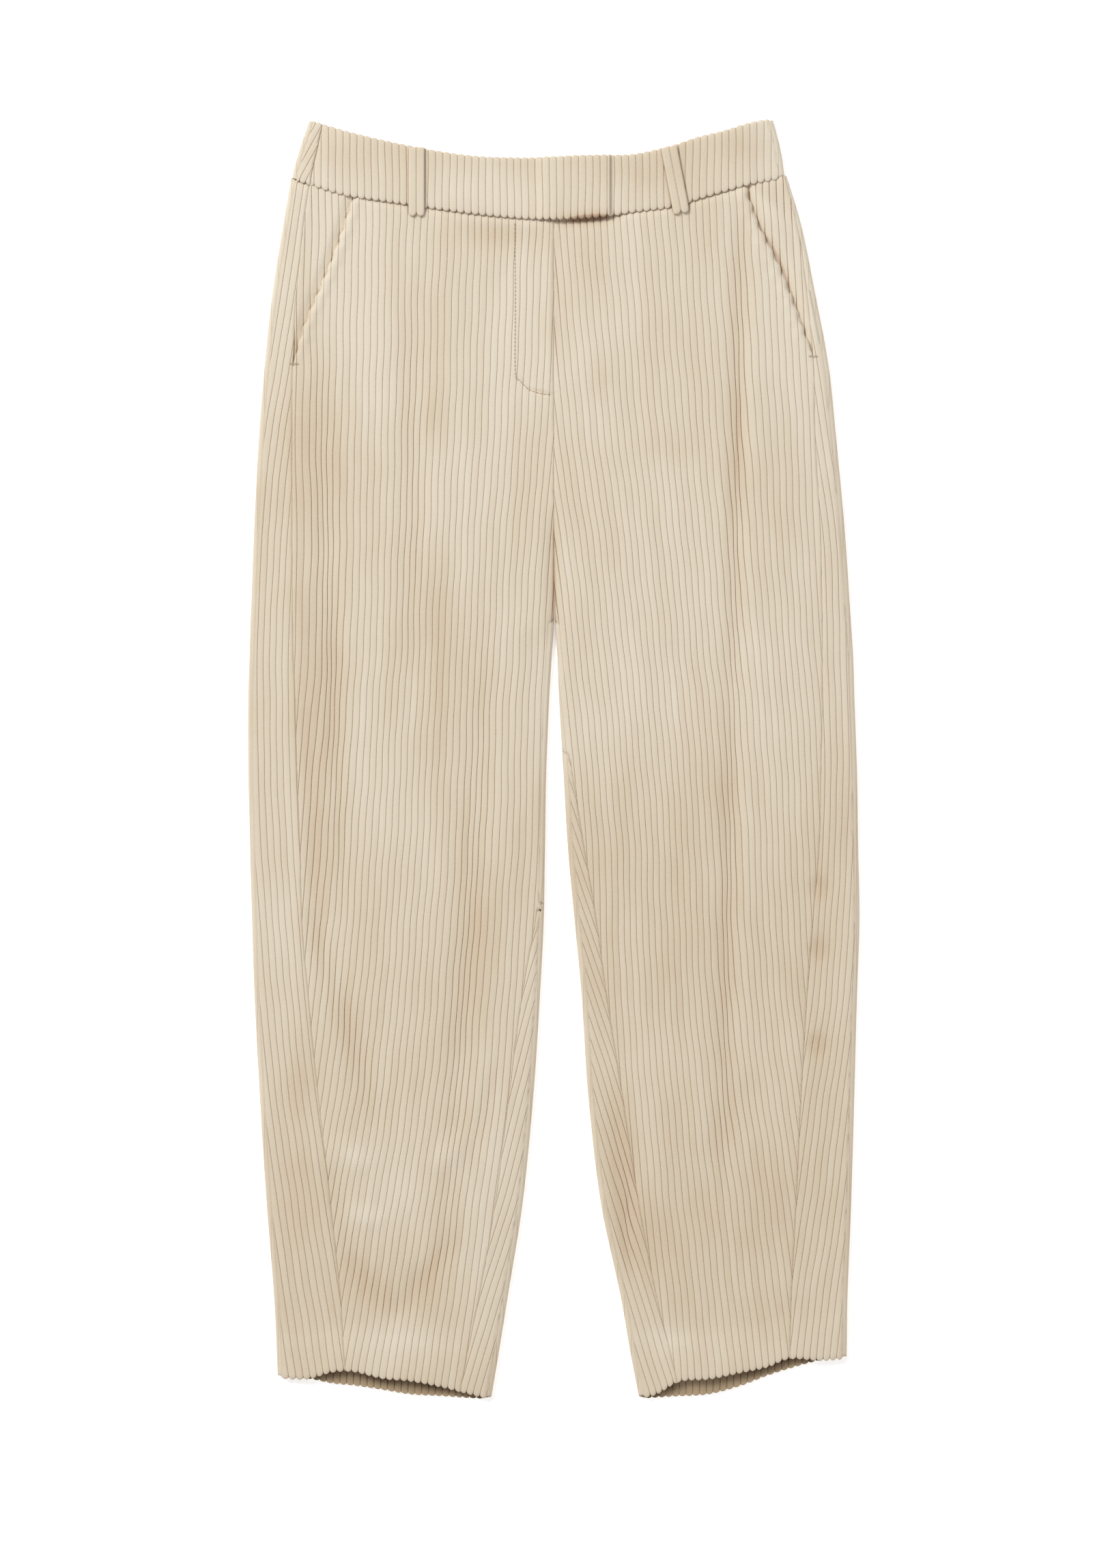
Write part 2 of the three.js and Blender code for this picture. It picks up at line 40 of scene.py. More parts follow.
# Cloth and wales
CLOTH = 0.0018  # wall between two wales
WALE = 0.0007  # height of a wale over the cloth
WAIST_WALE = 0.00565
EDGE_GAP = 0.0026
PUFF = 0.0011
LEAST_GAP = 0.0005
MOST_GAP = 0.0056
INNER_R = EDGE_GAP / 2
FOLD_R = CLOTH + INNER_R
TURN = FOLD_R + 0.0012  # wales stop this far from a turned edge
FLAT_TOP = 2 * CLOTH + EDGE_GAP
BAND_DEEP = 0.046
BAND_GRAIN = 0.0026  # where the waistband's wale number nought lies
BAND_RISE = 0.0009
TAB_RISE = 0.0027
SEWN = 0.0001  # two sewn edges pass each other by this much
TAB_X = 0.0445
TAB_RAMP = (-0.016, -0.004)
FORK = (0.135, 0.082)
SCALLOP = 0.0025  # a wale's rounded end passes the groove beside it by this much
WALE_POINTS = (0, 0.035, 0.08, 0.18, 0.5, 0.82, 0.92, 0.965)  # groove first, in pitches
ROW_STEP = 0.0045
HEM_DEEP = 0.028  # the hem is turned up inside by this much
HEM_GRAIN = 0.11
HEM_PITCH = 0.0054
LEG_SPAN = 0.945
FULL_TROUGH = 0.0022  # a trough this deep has the full shade


class Table:
    """Named columns over the first one, each a smooth curve. Rows are in millimetres."""

    def __init__(self, names, rows):
        data = np.array(rows, float) * MM
        if data[0, 0] > data[-1, 0]:
            data = data[::-1]
        self.names, self.at, self.data = names, data[:, 0], data
        n = len(data)
        low, high = np.maximum(np.arange(n) - 1, 0), np.minimum(np.arange(n) + 1, n - 1)
        self.slope = (data[high] - data[low]) / (self.at[high] - self.at[low])[:, None]

    def __call__(self, name, at):
        c = self.names.index(name)
        at = np.asarray(at, float)
        i = np.clip(np.searchsorted(self.at, at) - 1, 0, len(self.at) - 2)
        h = self.at[i + 1] - self.at[i]
        s = (at - self.at[i]) / h
        k = np.clip(s, 0, 1)
        v, m = self.data[:, c], self.slope[:, c]
        inside = (v[i] * (1 + 2 * k) * (1 - k) ** 2 + v[i + 1] * k * k * (3 - 2 * k)
                  + h * (m[i] * k * (1 - k) ** 2 - m[i + 1] * k * k * (1 - k)))
        return inside + np.where(s < 0, s * h * m[i], 0) + np.where(s > 1, (s - 1) * h * m[i + 1], 0)


COLUMNS = ["y", "outer", "seam", "inner", "strip", "grain", "pitch", "edge_grain", "inside_grain"]
RIGHT = Table(COLUMNS, [
    (462.5, -207.5, -192, -0.2, 0, -66.5, 5.45, -191, 260),
    (422, -214.5, -198, -0.2, 0, -67.5, 5.38, -197, 240),
    (368, -223, -203.5, -0.2, 0, -69.5, 5.35, -205, 215),
    (311.5, -229, -206.5, -0.2, 0, -71, 5.29, -214, 190),
    (254.5, -233.5, -207, -0.2, 0, -73.5, 5.24, -223.5, 165),
    (179, -237.5, -207, -0.2, 0, -77.5, 5.02, -230.5, 135),
    (111.5, -240, -206.5, 0, 0, -80.5, 4.94, -233.5, 108),
    (82, -241, -206, -1.6, 0, -81.5, 4.92, -234.5, 97),
    (49.5, -242, -204.5, -3.5, 0, -83.5, 4.92, -234.5, 85),
    (-10, -242, -203, -6, 0, -86, 5, -233.5, 64),
    (-69.5, -240.5, -200.5, -7, 0, -88.5, 5.07, -231.5, 43),
    (-129, -239, -199, -8, 6.5, -92.5, 5.09, -227, 24),
    (-188, -237, -194, -11, 14, -97, 5.13, -222.5, 6),
    (-264, -233, -186.5, -16, 19, -104, 5.24, -214.5, -13),
    (-350, -227.5, -176.5, -24.5, 21.5, -117, 5.37, -202.5, -34.5),
    (-426, -221.5, -168.5, -36.5, 22.5, -128.5, 5.51, -191, -58.5),
    (-466.5, -219.5, -166, -43, 24.5, -135, 5.56, -185, -70.5),
    (-505.5, -218, -162.5, -49.5, 25.5, -141.5, 5.62, -179, -82),
])
LEFT = Table(COLUMNS, [
    (462.5, 184, 182.5, 0.2, 0, 88.5, 5.45, 176.5, -215),
    (422, 196, 192.5, 0.2, 0, 91, 5.42, 183, -201),
    (368, 207, 200.5, 0.2, 0, 95, 5.37, 192.5, -183),
    (311.5, 217.5, 205.5, 0.2, 0, 99, 5.32, 203.5, -163),
    (254.5, 223.5, 207, 0.2, 0, 103.5, 5.24, 212, -143),
    (179, 230.5, 211, 0.2, 0, 110.5, 5.02, 223, -117),
    (111.5, 235, 212.5, 0.8, 0, 116.5, 4.91, 226, -94),
    (82, 237, 212.5, 2.8, 0, 119, 4.89, 226.5, -84),
    (49.5, 238, 212.5, 4, 0, 122.5, 4.88, 227.5, -73),
    (-10, 240, 211.5, 7.5, 7, 127, 4.81, 229, -52),
    (-69.5, 241, 210, 11, 13, 130.5, 4.75, 227, -31.5),
    (-129, 242, 205, 16.5, 17.5, 132.5, 4.78, 224, -11.5),
    (-188, 240, 200.5, 22, 20, 136, 4.86, 219.5, 8.5),
    (-264, 238, 196, 27, 27, 144, 5.02, 209, 32.5),
    (-350, 235.5, 192, 37, 30, 155, 5.24, 197.5, 57),
    (-426, 232.5, 188, 53, 28.5, 164, 5.29, 186.5, 80),
    (-466.5, 232, 187, 60, 31.5, 169, 5.35, 181.5, 92),
    (-505.5, 231, 187, 67.5, 33.5, 172.5, 5.4, 176, 104.5),
])
WAIST = Table(["x", "seam", "top"], [
    (-207, 459.5, 504), (-194, 456, 504.5), (-179, 451, 500), (-162, 446.5, 495), (-135.5, 442.5, 488.5),
    (-101.5, 437.5, 481.5), (-63.5, 432.5, 476), (-27.5, 429, 474.5), (-2, 428, 475), (21, 429, 476),
    (44.5, 431, 476.5), (64, 434, 477.5), (95, 438, 484.5), (112.5, 443.5, 490.5), (134.5, 450, 496),
    (156, 456, 502.5), (173.5, 459.5, 505.5), (183, 461.5, 504),
])
BAND = Table(["y", "right", "seam", "left"], [
    (450, -207, -193, 183), (462, -206.8, -191.5, 182.5), (482, -201.5, -187, 179.5), (506, -193.5, -182, 173.5),
])
HEM_RIGHT = Table(["x", "front", "back"], [
    (-218.5, -487.5, -487.5), (-195, -488, -489), (-175, -482.5, -493), (-159, -482, -494.5),
    (-135.5, -487.5, -498), (-114, -489.5, -501.5), (-88, -494.5, -503), (-65.5, -500.5, -504.5),
    (-48, -505, -505.2),
])
HEM_LEFT = Table(["x", "front", "back"], [
    (66.5, -504, -505), (81.5, -500, -504), (99, -490, -503), (122.5, -488, -501.5), (147.5, -483, -495),
    (168.5, -478.5, -487), (185.5, -472, -481.5), (211.5, -473.5, -474.5), (232, -472, -473),
])
POCKET_RIGHT = Table(["y", "edge"], [(446, -158.5), (420, -166.5), (379.5, -182), (341.5, -198), (313, -206)])
POCKET_LEFT = Table(["y", "edge"], [(455.5, 151.5), (426.5, 160), (390.5, 178), (355, 192), (318, 205.5)])
# How far each pocket's facing lies in the shade of its edge
MOUTH_RIGHT = Table(["y", "wide"], [(460, 1), (400, 1.6), (313, 0.8)])
MOUTH_LEFT = Table(["y", "wide"], [(462, 2), (440, 2.5), (420, 4.5), (402, 6.5), (380, 5), (350, 1.8), (313, 0.8)])
# The left facing swells below a line through this point, which falls this much over its run
BULGE = (0.175, 0.435)
BULGE_SLOPE = 0.936
# Folds of the upper layer: from x, y to x, y, half width, depth (below zero a trough, painted with shade), all in
# millimetres, and how much the wales draw together there
FOLDS = [
    (-187, 335, -169, -132, 9, -1.6, 0.32),
    (-196, 40, -187, -165, 6, -1.1, 0.1),
    (-194, -118, -138, -292, 8, -1.7, 0.12),
    (148, 440, 142, 55, 6, -2.0, 0.45),
    (142.5, 115, 133, -345, 6, -1.7, 0.4),
    (160, 440, 157, 120, 9, 0.8, 0),
    (-52, 118, -88, -430, 9, -1.3, 0.22),
    (-112, 373.5, -114, 60, 8, -1.0, 0.15),
    (-178, -318, -161, -405, 6, -1.2, 0.1),
    (-166, -392, -122, -443, 7, -1.5, 0),
    (-128, -443, -74, -375, 7, -1.3, 0),
    (-174, -300, -147, -327, 6, 1.6, 0),
    (-164, -352, -135, -370, 5, 1.5, 0),
    (-70, -294, -93, -328, 6, 1.5, 0),
    (-45, -240, -68, -330, 5, -1.0, 0.1),
    (44, -250, 64, -405, 6, -1.1, 0.2),
    (204, -95, 216, -108, 5, -1.2, 0),
    (204, -143, 216, -158, 5, -1.2, 0),
    (203, -218, 215, -234, 5, -1.2, 0),
    (160, -250, 120, -320, 10, -0.8, 0),
    (0, 200, 0, 66, 4, -2.2, 0),
    (-76, 421, -8, 410, 8, -1.1, 0),
    (-24, 396, -24, 300, 12, 0.8, 0),
    (-2, 425, 56, 430, 4, -2.6, 0),
    (-3.2, 432, -3.2, 284, 2.4, 1.0, 0),
    (2.6, 424, 1.8, 284, 2.4, -0.8, 0),
    (62, -295, 55, -418, 5, -1.0, 0.35),
    (-31, 303, -17, 290.5, 1.2, -0.8, 0),
    (-21, 292.5, 1, 287, 1.2, -0.8, 0),
]
# Patches of pile tone and of painted highlight and shade on ridges and troughs: x, y, half width and half length
# in millimetres, and how much tanner (or lighter) they are
NAP_AND_PAINTED_LIGHT = [
    (-45, 413, 34, 11, 0.4), (-26, 350, 18, 48, -0.5), (-154, 350, 20, 62, -0.55), (182, 335, 20, 80, -0.45),
    (-92, 272, 9, 30, 0.4), (-92, 95, 10, 105, 0.4), (-203, 250, 8, 60, 0.4), (-199, 105, 9, 80, 0.6),
    (-148, 45, 18, 100, -0.3), (92, 246, 24, 14, 0.35), (60, 120, 42, 55, -0.25), (36, 300, 14, 18, 0.3),
    (-147, -415, 22, 22, 0.4), (-102, -418, 22, 26, 0.4), (-76, -372, 12, 18, 0.3), (-125, -345, 22, 22, -0.35),
    (-160, -313, 16, 10, -0.6), (-150, -361, 16, 8, -0.6), (-84, -312, 14, 14, -0.5), (-56, -165, 9, 62, 0.35),
    (-202, -262, 11, 30, 0.35), (-186, -90, 8, 60, 0.3), (53, -300, 10, 62, 0.55), (66, -392, 16, 34, 0.45),
    (211, -102, 7, 11, 0.5), (211, -150, 7, 13, 0.5), (209, -226, 8, 14, 0.5), (90, -458, 26, 10, -0.5),
    (-128, -459, 62, 12, -0.45), (176, -440, 30, 26, 0.4), (110, -400, 16, 40, 0.25), (-20, 190, 12, 60, 0.2),
    (0, 486, 260, 26, 0.45), (-60, 452, 30, 14, -0.35), (70, 462, 30, 14, 0.35),
    (-170, 478, 24, 12, 0.3), (150, 484, 22, 12, 0.35),
    (176, 424, 13, 9, -0.6),
]


def ease(v):
    v = np.clip(v, 0, 1)
    return v * v * (3 - 2 * v)


def mix(a, b, s):
    return a + (b - a) * s


def fold_parts(fold, x, y):
    """A fold's depth at a point, and the sideways distance from its line."""
    x0, y0, x1, y1, wide, deep = (v * MM for v in fold[:6])
    dx, dy = x1 - x0, y1 - y0
    s = ((x - x0) * dx + (y - y0) * dy) / (dx * dx + dy * dy)
    off = ((x - x0) * dy - (y - y0) * dx) / np.hypot(dx, dy)
    full = np.exp(-0.5 * (off / wide) ** 2) * np.sin(np.pi * np.clip(s, 0, 1)) ** 0.6
    return deep * full, full * (x - x0 - (y - y0) * dx / dy if fold[6] else 0)


def folds_at(x, y):
    return sum(fold_parts(f, x, y)[0] for f in FOLDS)


def troughs_at(x, y):
    """How deep in a trough the cloth lies, from 0 to 1; it sets the painted shade there."""
    return np.clip(-sum(np.minimum(fold_parts(f, x, y)[0], 0) for f in FOLDS) / FULL_TROUGH, 0, 1)


def gathered(x, y):
    """Sideways shift of the wales towards the folds that draw them together."""
    return -sum(f[6] * fold_parts(f, x, y)[1] for f in FOLDS if f[6])


def nap_and_painted_light_at(x, y):
    """How tan the pile looks: patches of pile tone and of painted highlight and shade, slowly tanner down the legs.
    """
    patches = sum(tan * np.exp(-(((x - cx * MM) / (w * MM)) ** 2) - ((y - cy * MM) / (h * MM)) ** 2)
                  for cx, cy, w, h, tan in NAP_AND_PAINTED_LIGHT)
    return 0.75 * patches - 0.45 * y


def drift(x, y):
    """Slow unevenness of hand-laid cloth, from -1 to 1."""
    return (np.sin(31 * x + 17 * y + 0.6) * np.sin(23 * y - 13 * x + 1.1)
            + 0.6 * np.sin(61 * x - 27 * y + 2.2) * np.sin(47 * y + 0.4)) / 1.6


def sway(y, u):
    """Sideways wander of a wale."""
    return 0.00032 * np.sin(52 * y + 0.35 * u) + 0.00022 * np.sin(127 * y - 0.22 * u + 1.3)


def rounded(d):
    return FOLD_R + FOLD_R * np.sqrt(1 - (1 - np.clip(d / FOLD_R, 0, 1)) ** 2)


def wale_shape(s):
    """Height of a wale across its pitch: a narrow groove and a broad, slightly crowned top."""
    e = np.abs(2 * s - 1)
    return np.clip(1 - e**14, 0, 1) * (1 - 0.14 * e**2)


def tip_shape(s):
    """How far a wale's end reaches across its pitch."""
    return np.clip(1 - (2 * s - 1) ** 2, 0, 1) ** 0.7


class Leg:
    def __init__(self, side, table, hem, pocket, mouth):
        self.side, self.table, self.hem, self.pocket_table, self.mouth = side, table, hem, pocket, mouth

    def parted(self, y):
        return ease((FORK[0] - y) / (FORK[0] - FORK[1]))

    def strip(self, y):
        w = self.table("strip", y)
        return np.where(w < 0.005, 0, w)

    def top_y(self, t):
        return lambda x: mix(WAIST("seam", x), self.hem("front", x), t)

    def under_y(self, t):
        return lambda x: mix(WAIST("seam", x), self.hem("back", x), t)

    def outer(self, y):
        return self.table("outer", y)

    def inner(self, y):
        return self.table("inner", y)

    def seam(self, y):
        return self.table("seam", y)

    def inseam(self, y):
        return self.table("inner", y) + self.side * self.strip(y)

    def pocket(self, y):
        return self.pocket_table("edge", y)

    def grain(self, y):
        return self.table("grain", y)

    def pitch(self, y):
        return self.table("pitch", y)

    def height(self, x, y):
        out = self.side * (self.outer(y) - x)
        inn = self.side * (x - self.inner(y))
        p = self.parted(y)
        away = np.minimum(out, inn + (1 - p) * 0.08)
        lift = folds_at(x, y) * ease((away - FOLD_R) / 0.012) + 0.0005 * drift(x, y) * ease(away / 0.03)
        over_hem = y - self.hem("front", x)
        lift = lift + 0.0007 * (1 - ease((over_hem - HEM_DEEP) / 0.0035))
        lift = lift + 0.0016 * (1 - ease(over_hem / 0.03)) * ease((away - FOLD_R) / 0.05)
        gap = EDGE_GAP + PUFF * ease((away - FOLD_R) / 0.05) + lift
        top = 2 * CLOTH + np.clip(gap, LEAST_GAP, MOST_GAP)
        return top + np.minimum(rounded(out), mix(FLAT_TOP, rounded(inn), p)) - FLAT_TOP


def cross(edge, row_y):
    x = float(edge(0.0))
    for _ in range(14):
        x = float(edge(float(row_y(x))))
    return x


class Line:
    """Points of one row: key, x, y, z, wale number, length along the wale, and how much painted shade it takes."""

    def __init__(self):
        self.parts = []

    def add(self, key, x, y, z, u, v, shade=0.0):
        columns = (np.atleast_1d(a).astype(float) for a in (key, x, y, z, u, v, shade))
        self.parts.append(np.column_stack(np.broadcast_arrays(*columns)))
        return self

    def points(self):
        return np.concatenate(self.parts)


def wale_line(line, row_y, start, end, grain, pitch, height, base=0, margin=0.04, plain=False, tip=0.0,
              sag=0.0, shade=0.0, side_shade=(0.0, 0.0)):
    """Points from start to end along a row, on the wales. tip moves a wale's middle along its length at a cut end."""
    way = np.sign(end - start)
    ua, ub = (way * (x - grain(row_y(x))) / pitch(row_y(x)) for x in (start, end))
    n = np.arange(np.floor(ua) - 1, ub + 2)
    u = np.sort((n[:, None] + np.array((0,) if plain else WALE_POINTS)).ravel())
    u = u[(u > ua + margin) & (u < ub - margin)]
    x = np.full(u.shape, (start + end) / 2)
    for _ in range(14):
        y = row_y(x)
        x = grain(y) + way * u * pitch(y)
    free = ease(np.minimum(u - ua, ub - u) / 3)
    x = x + (sway(y, u) + gathered(x, y)) * free
    u, x = np.concatenate(([ua], u, [ub])), np.concatenate(([start], x, [end]))
    y = row_y(x)
    z = height(x, y)
    s = u - np.floor(u)
    shape = wale_shape(s)
    shape[[0, -1]] = 0
    if plain:
        z = z - CLOTH
    else:
        z = z + WALE * shape
        y = y + tip * tip_shape(s)
    # Painted shade: troughs, the given shade and side_shade beside the row's two ends darken the points.
    beside = side_shade[0] * (1 - ease((u - ua) / 0.2)) + side_shade[1] * (1 - ease((ub - u) / 0.2))
    own = shade(x, y) if callable(shade) else shade
    dark = np.clip(np.maximum(troughs_at(x, y), own) + beside, 0, 1)
    return line.add(base + u, x, y, z - sag, way * u, y, dark)


class Cloth:
    """A closed wall of cloth, from rows of outer and inner points."""

    def __init__(self):
        self.verts, self.uv, self.shade, self.faces, self.flat, self.inside = [], [], [], [], [], []
        self.count = 0

    def put(self, rows):
        lines = []
        for r in rows:
            ids = np.arange(self.count, self.count + len(r))
            self.count += len(r)
            self.verts.append(r[:, 1:4])
            self.uv.append(r[:, 4:6])
            self.shade.append(r[:, 6])
            lines.append((r[:, 0].tolist(), ids.tolist()))
        return lines

    def join(self, a, b, turn=False, flat=False):
        (ka, ia), (kb, ib) = a, b
        i = j = 0
        end = 1e9
        while i < len(ia) - 1 or j < len(ib) - 1:
            na = ka[i + 1] if i < len(ia) - 1 else end
            nb = kb[j + 1] if j < len(ib) - 1 else end
            if abs(na - nb) < 1e-6:
                f = (ia[i], ib[j], ib[j + 1], ia[i + 1])
                i, j = i + 1, j + 1
            elif na < nb:
                f = (ia[i], ib[j], ia[i + 1])
                i += 1
            else:
                f = (ia[i], ib[j], ib[j + 1])
                j += 1
            self.faces.append(f[::-1] if turn else f)
            self.flat.append(flat)
            self.inside.append(turn)

    def rim(self, lines, keys, which):
        return keys, [ids[which] for _, ids in lines]

    def wall(self, outer, inner, outer_at, inner_at):
        out, inn = self.put(outer), self.put(inner)
        for a, b in zip(out, out[1:]):
            self.join(a, b)
        for a, b in zip(inn, inn[1:]):
            self.join(a, b, turn=True)
        self.join(inn[0], out[0], flat=True)
        self.join(out[-1], inn[-1], flat=True)
        self.join(self.rim(out, outer_at, 0), self.rim(inn, inner_at, 0), flat=True)
        self.join(self.rim(inn, inner_at, -1), self.rim(out, outer_at, -1), flat=True)
        return self

    def mesh(self, name):
        verts, uv = np.concatenate(self.verts), np.concatenate(self.uv)
        faces = self.faces
        a, b, c = (verts[[f[k] for f in faces]] for k in range(3))
        if np.einsum("ij,ij->i", a, np.cross(b, c)).sum() < 0:
            faces = [f[::-1] for f in faces]
        mesh = bpy.data.meshes.new(name)
        mesh.from_pydata(verts.tolist(), [], faces)
        mesh.polygons.foreach_set("use_smooth", [not f for f in self.flat])
        mesh.polygons.foreach_set("material_index", [int(f) for f in self.inside])
        shade = np.concatenate(self.shade)
        # Painted shade, and pile tone with painted highlight and shade, go to the material as point values.
        for label, values in (("shade", shade), ("nap_and_painted_light", nap_and_painted_light_at(verts[:, 0], verts[:, 1]))):
            mesh.attributes.new(label, "FLOAT", "POINT").data.foreach_set("value", values.astype(np.float32))
        layer = mesh.uv_layers.new(name="Wales")
        loops = np.empty(len(mesh.loops), int)
        mesh.loops.foreach_get("vertex_index", loops)
        layer.data.foreach_set("uv", uv[loops].astype(np.float32).ravel())
        mesh.update()
        piece = bpy.data.objects.new(name, mesh)
        bpy.context.collection.objects.link(piece)
        return piece


def row_places(span, fine=(0.0005, 0.0012, 0.0022, 0.0036), more=()):
    """Shares of the way from the waist to the hem, closer together at both cut edges."""
    body = np.arange(0.006, span - 0.006, ROW_STEP)
    return np.unique(np.concatenate(([0], fine, body, more, span - np.array(fine)[::-1], [span])).round(6)) / span


def edge_sag(t, span, depth=0.0013, reach=0.0024):
    """How far the cloth rolls down beside its cut edge."""
    d = np.minimum(t, 1 - t) * span
    return depth * (1 - np.sqrt(1 - (1 - np.clip(d / reach, 0, 1)) ** 2))


def tip_at(t, span, top=-SCALLOP, foot=-SCALLOP, reach=0.004):
    """Shift of the wale ends at the two cut edges."""
    d0, d1 = t * span, (1 - t) * span
    return -top * (1 - ease(d0 / reach)) + foot * (1 - ease(d1 / reach))


# Painted shade along a cut edge, where it rolls under, also standing for the darker pile ends there.
def edge_shade(t, span, reach=0.0007):
    return float(1 - ease(min(t, 1 - t) * span / reach))


def tuck(t):
    """The panel's upper edge dips under the waistband."""
    return 0.0028 * np.exp(-((t * LEG_SPAN / 0.0034) ** 2))


def turned_end(line, leg, edge, row_y, toward, plain):
    y = float(row_y(edge))
    top = float(leg.height(edge - toward * FOLD_R, y))
    u = lambda x: (x - float(leg.table("grain", y))) / float(leg.table("pitch", y))
    if plain:
        spots = ((980, CLOTH + INNER_R, top - CLOTH), (1000, CLOTH, FOLD_R + 0.0001))
    else:
        angles = np.radians((90, 68, 45, 22, 0))
        spots = [(980 + 5 * i, FOLD_R * (1 - np.cos(a)), FOLD_R + (top - FOLD_R) * np.sin(a))
                 for i, a in enumerate(angles)]
        spots[-1] = (1000, 0, FOLD_R + 0.0001)
    for key, d, z in spots:
        x = edge - toward * d
        line.add(key, x, row_y(x), z, u(x), row_y(x))
    return line


def rows_of(places, make):
    """Outer rows at every place and inner rows at each fourth one."""
    few = [i for i in range(len(places)) if i % 4 == 0 or i == len(places) - 1]
    outer = [make(places[i], False).points() for i in range(len(places))]
    inner = [make(places[i], True).points() for i in few]
    return outer, inner, list(map(float, places)), [float(places[i]) for i in few]


def front_panel(name, leg):
    by_pocket, by_fly_foot = np.arange(0.008, 0.13, 0.0045), np.arange(0.1335, 0.1445, 0.0009)
    places = row_places(LEG_SPAN, more=np.concatenate((by_pocket, by_fly_foot)))
    pocket_foot = float(leg.pocket_table.at[0])

    def make(t, plain):
        row_y = leg.top_y(t)
        seam, slant = cross(leg.seam, row_y), cross(leg.pocket, row_y)
        start = slant if leg.side * slant < leg.side * seam else seam
        open_edge = start == slant
        high = ease((float(row_y(start)) - pocket_foot) / 0.02)
        start += open_edge * leg.side * 0.0009 * high * np.sin(520 * float(row_y(start)))
        edge = cross(leg.inner, row_y)
        y = float(row_y(edge))
        stripped = leg.strip(y) > 0
        turned = not stripped and leg.parted(y) > 0.5
        if stripped:
            end = cross(leg.inseam, row_y)
        elif turned:
            end = edge + leg.side * TURN
        else:
            end = edge * (leg.parted(y) > 0)
        sag = edge_sag(t, LEG_SPAN, 0.001) * (t > 0.5) + tuck(t)
        roll = 0.0011 * high if open_edge else 0.0
        fly = y > 0.286

        def height(x, y):
            d = np.abs(x - start)
            crest, lip = np.exp(-(((d - 0.004) / 0.0035) ** 2)), np.exp(-((d / 0.0014) ** 2))
            return leg.height(x, y) + roll * (crest - 0.8 * lip)

        # Painted shade along the cut edges, beside the pocket's edge and the side seam, and along the inner edge
        # except at the fly and turned edges.
        line = wale_line(Line(), row_y, start, end, leg.grain, leg.pitch, height, plain=plain,
                         tip=float(tip_at(t, LEG_SPAN)) * (t > 0.5), sag=sag, shade=edge_shade(t, LEG_SPAN),
                         side_shade=(0.7 if open_edge else 0.25, 0.0 if turned or fly else 0.45))
        return turned_end(line, leg, edge, row_y, -leg.side, plain) if turned else line

    return Cloth().wall(*rows_of(places, make)).mesh(name)


def hem_wales(line, a, b, row_y, leg, plain, tip):
    """The lower layer inside the hem: flat below, the turned-up cloth's wales above, with painted shade under the
    front.
    """
    side = leg.side
    ua, ub = sorted(((a - side * HEM_GRAIN) / HEM_PITCH, (b - side * HEM_GRAIN) / HEM_PITCH))
    u = np.sort((np.arange(np.floor(ua) - 1, ub + 2)[:, None] + np.array(WALE_POINTS)).ravel())
    u = u[(u > ua + 0.3) & (u < ub - 0.3)]
    u = u if b > a else u[::-1]
    x = u * HEM_PITCH + side * HEM_GRAIN
    s = u - np.floor(u)
    y = row_y(x) + tip * 0.6 * tip_shape(s)
    z = CLOTH + 0.0009 * wale_shape(s) if plain else 0 * x
    # Painted shade under the front's hem, fading further below it.
    dark = 1 - ease((leg.hem("front", x) - y - 0.001) / 0.008)
    line.add(1100 + 12 * (x - a) / (b - a), x, y, z, u, y, dark)


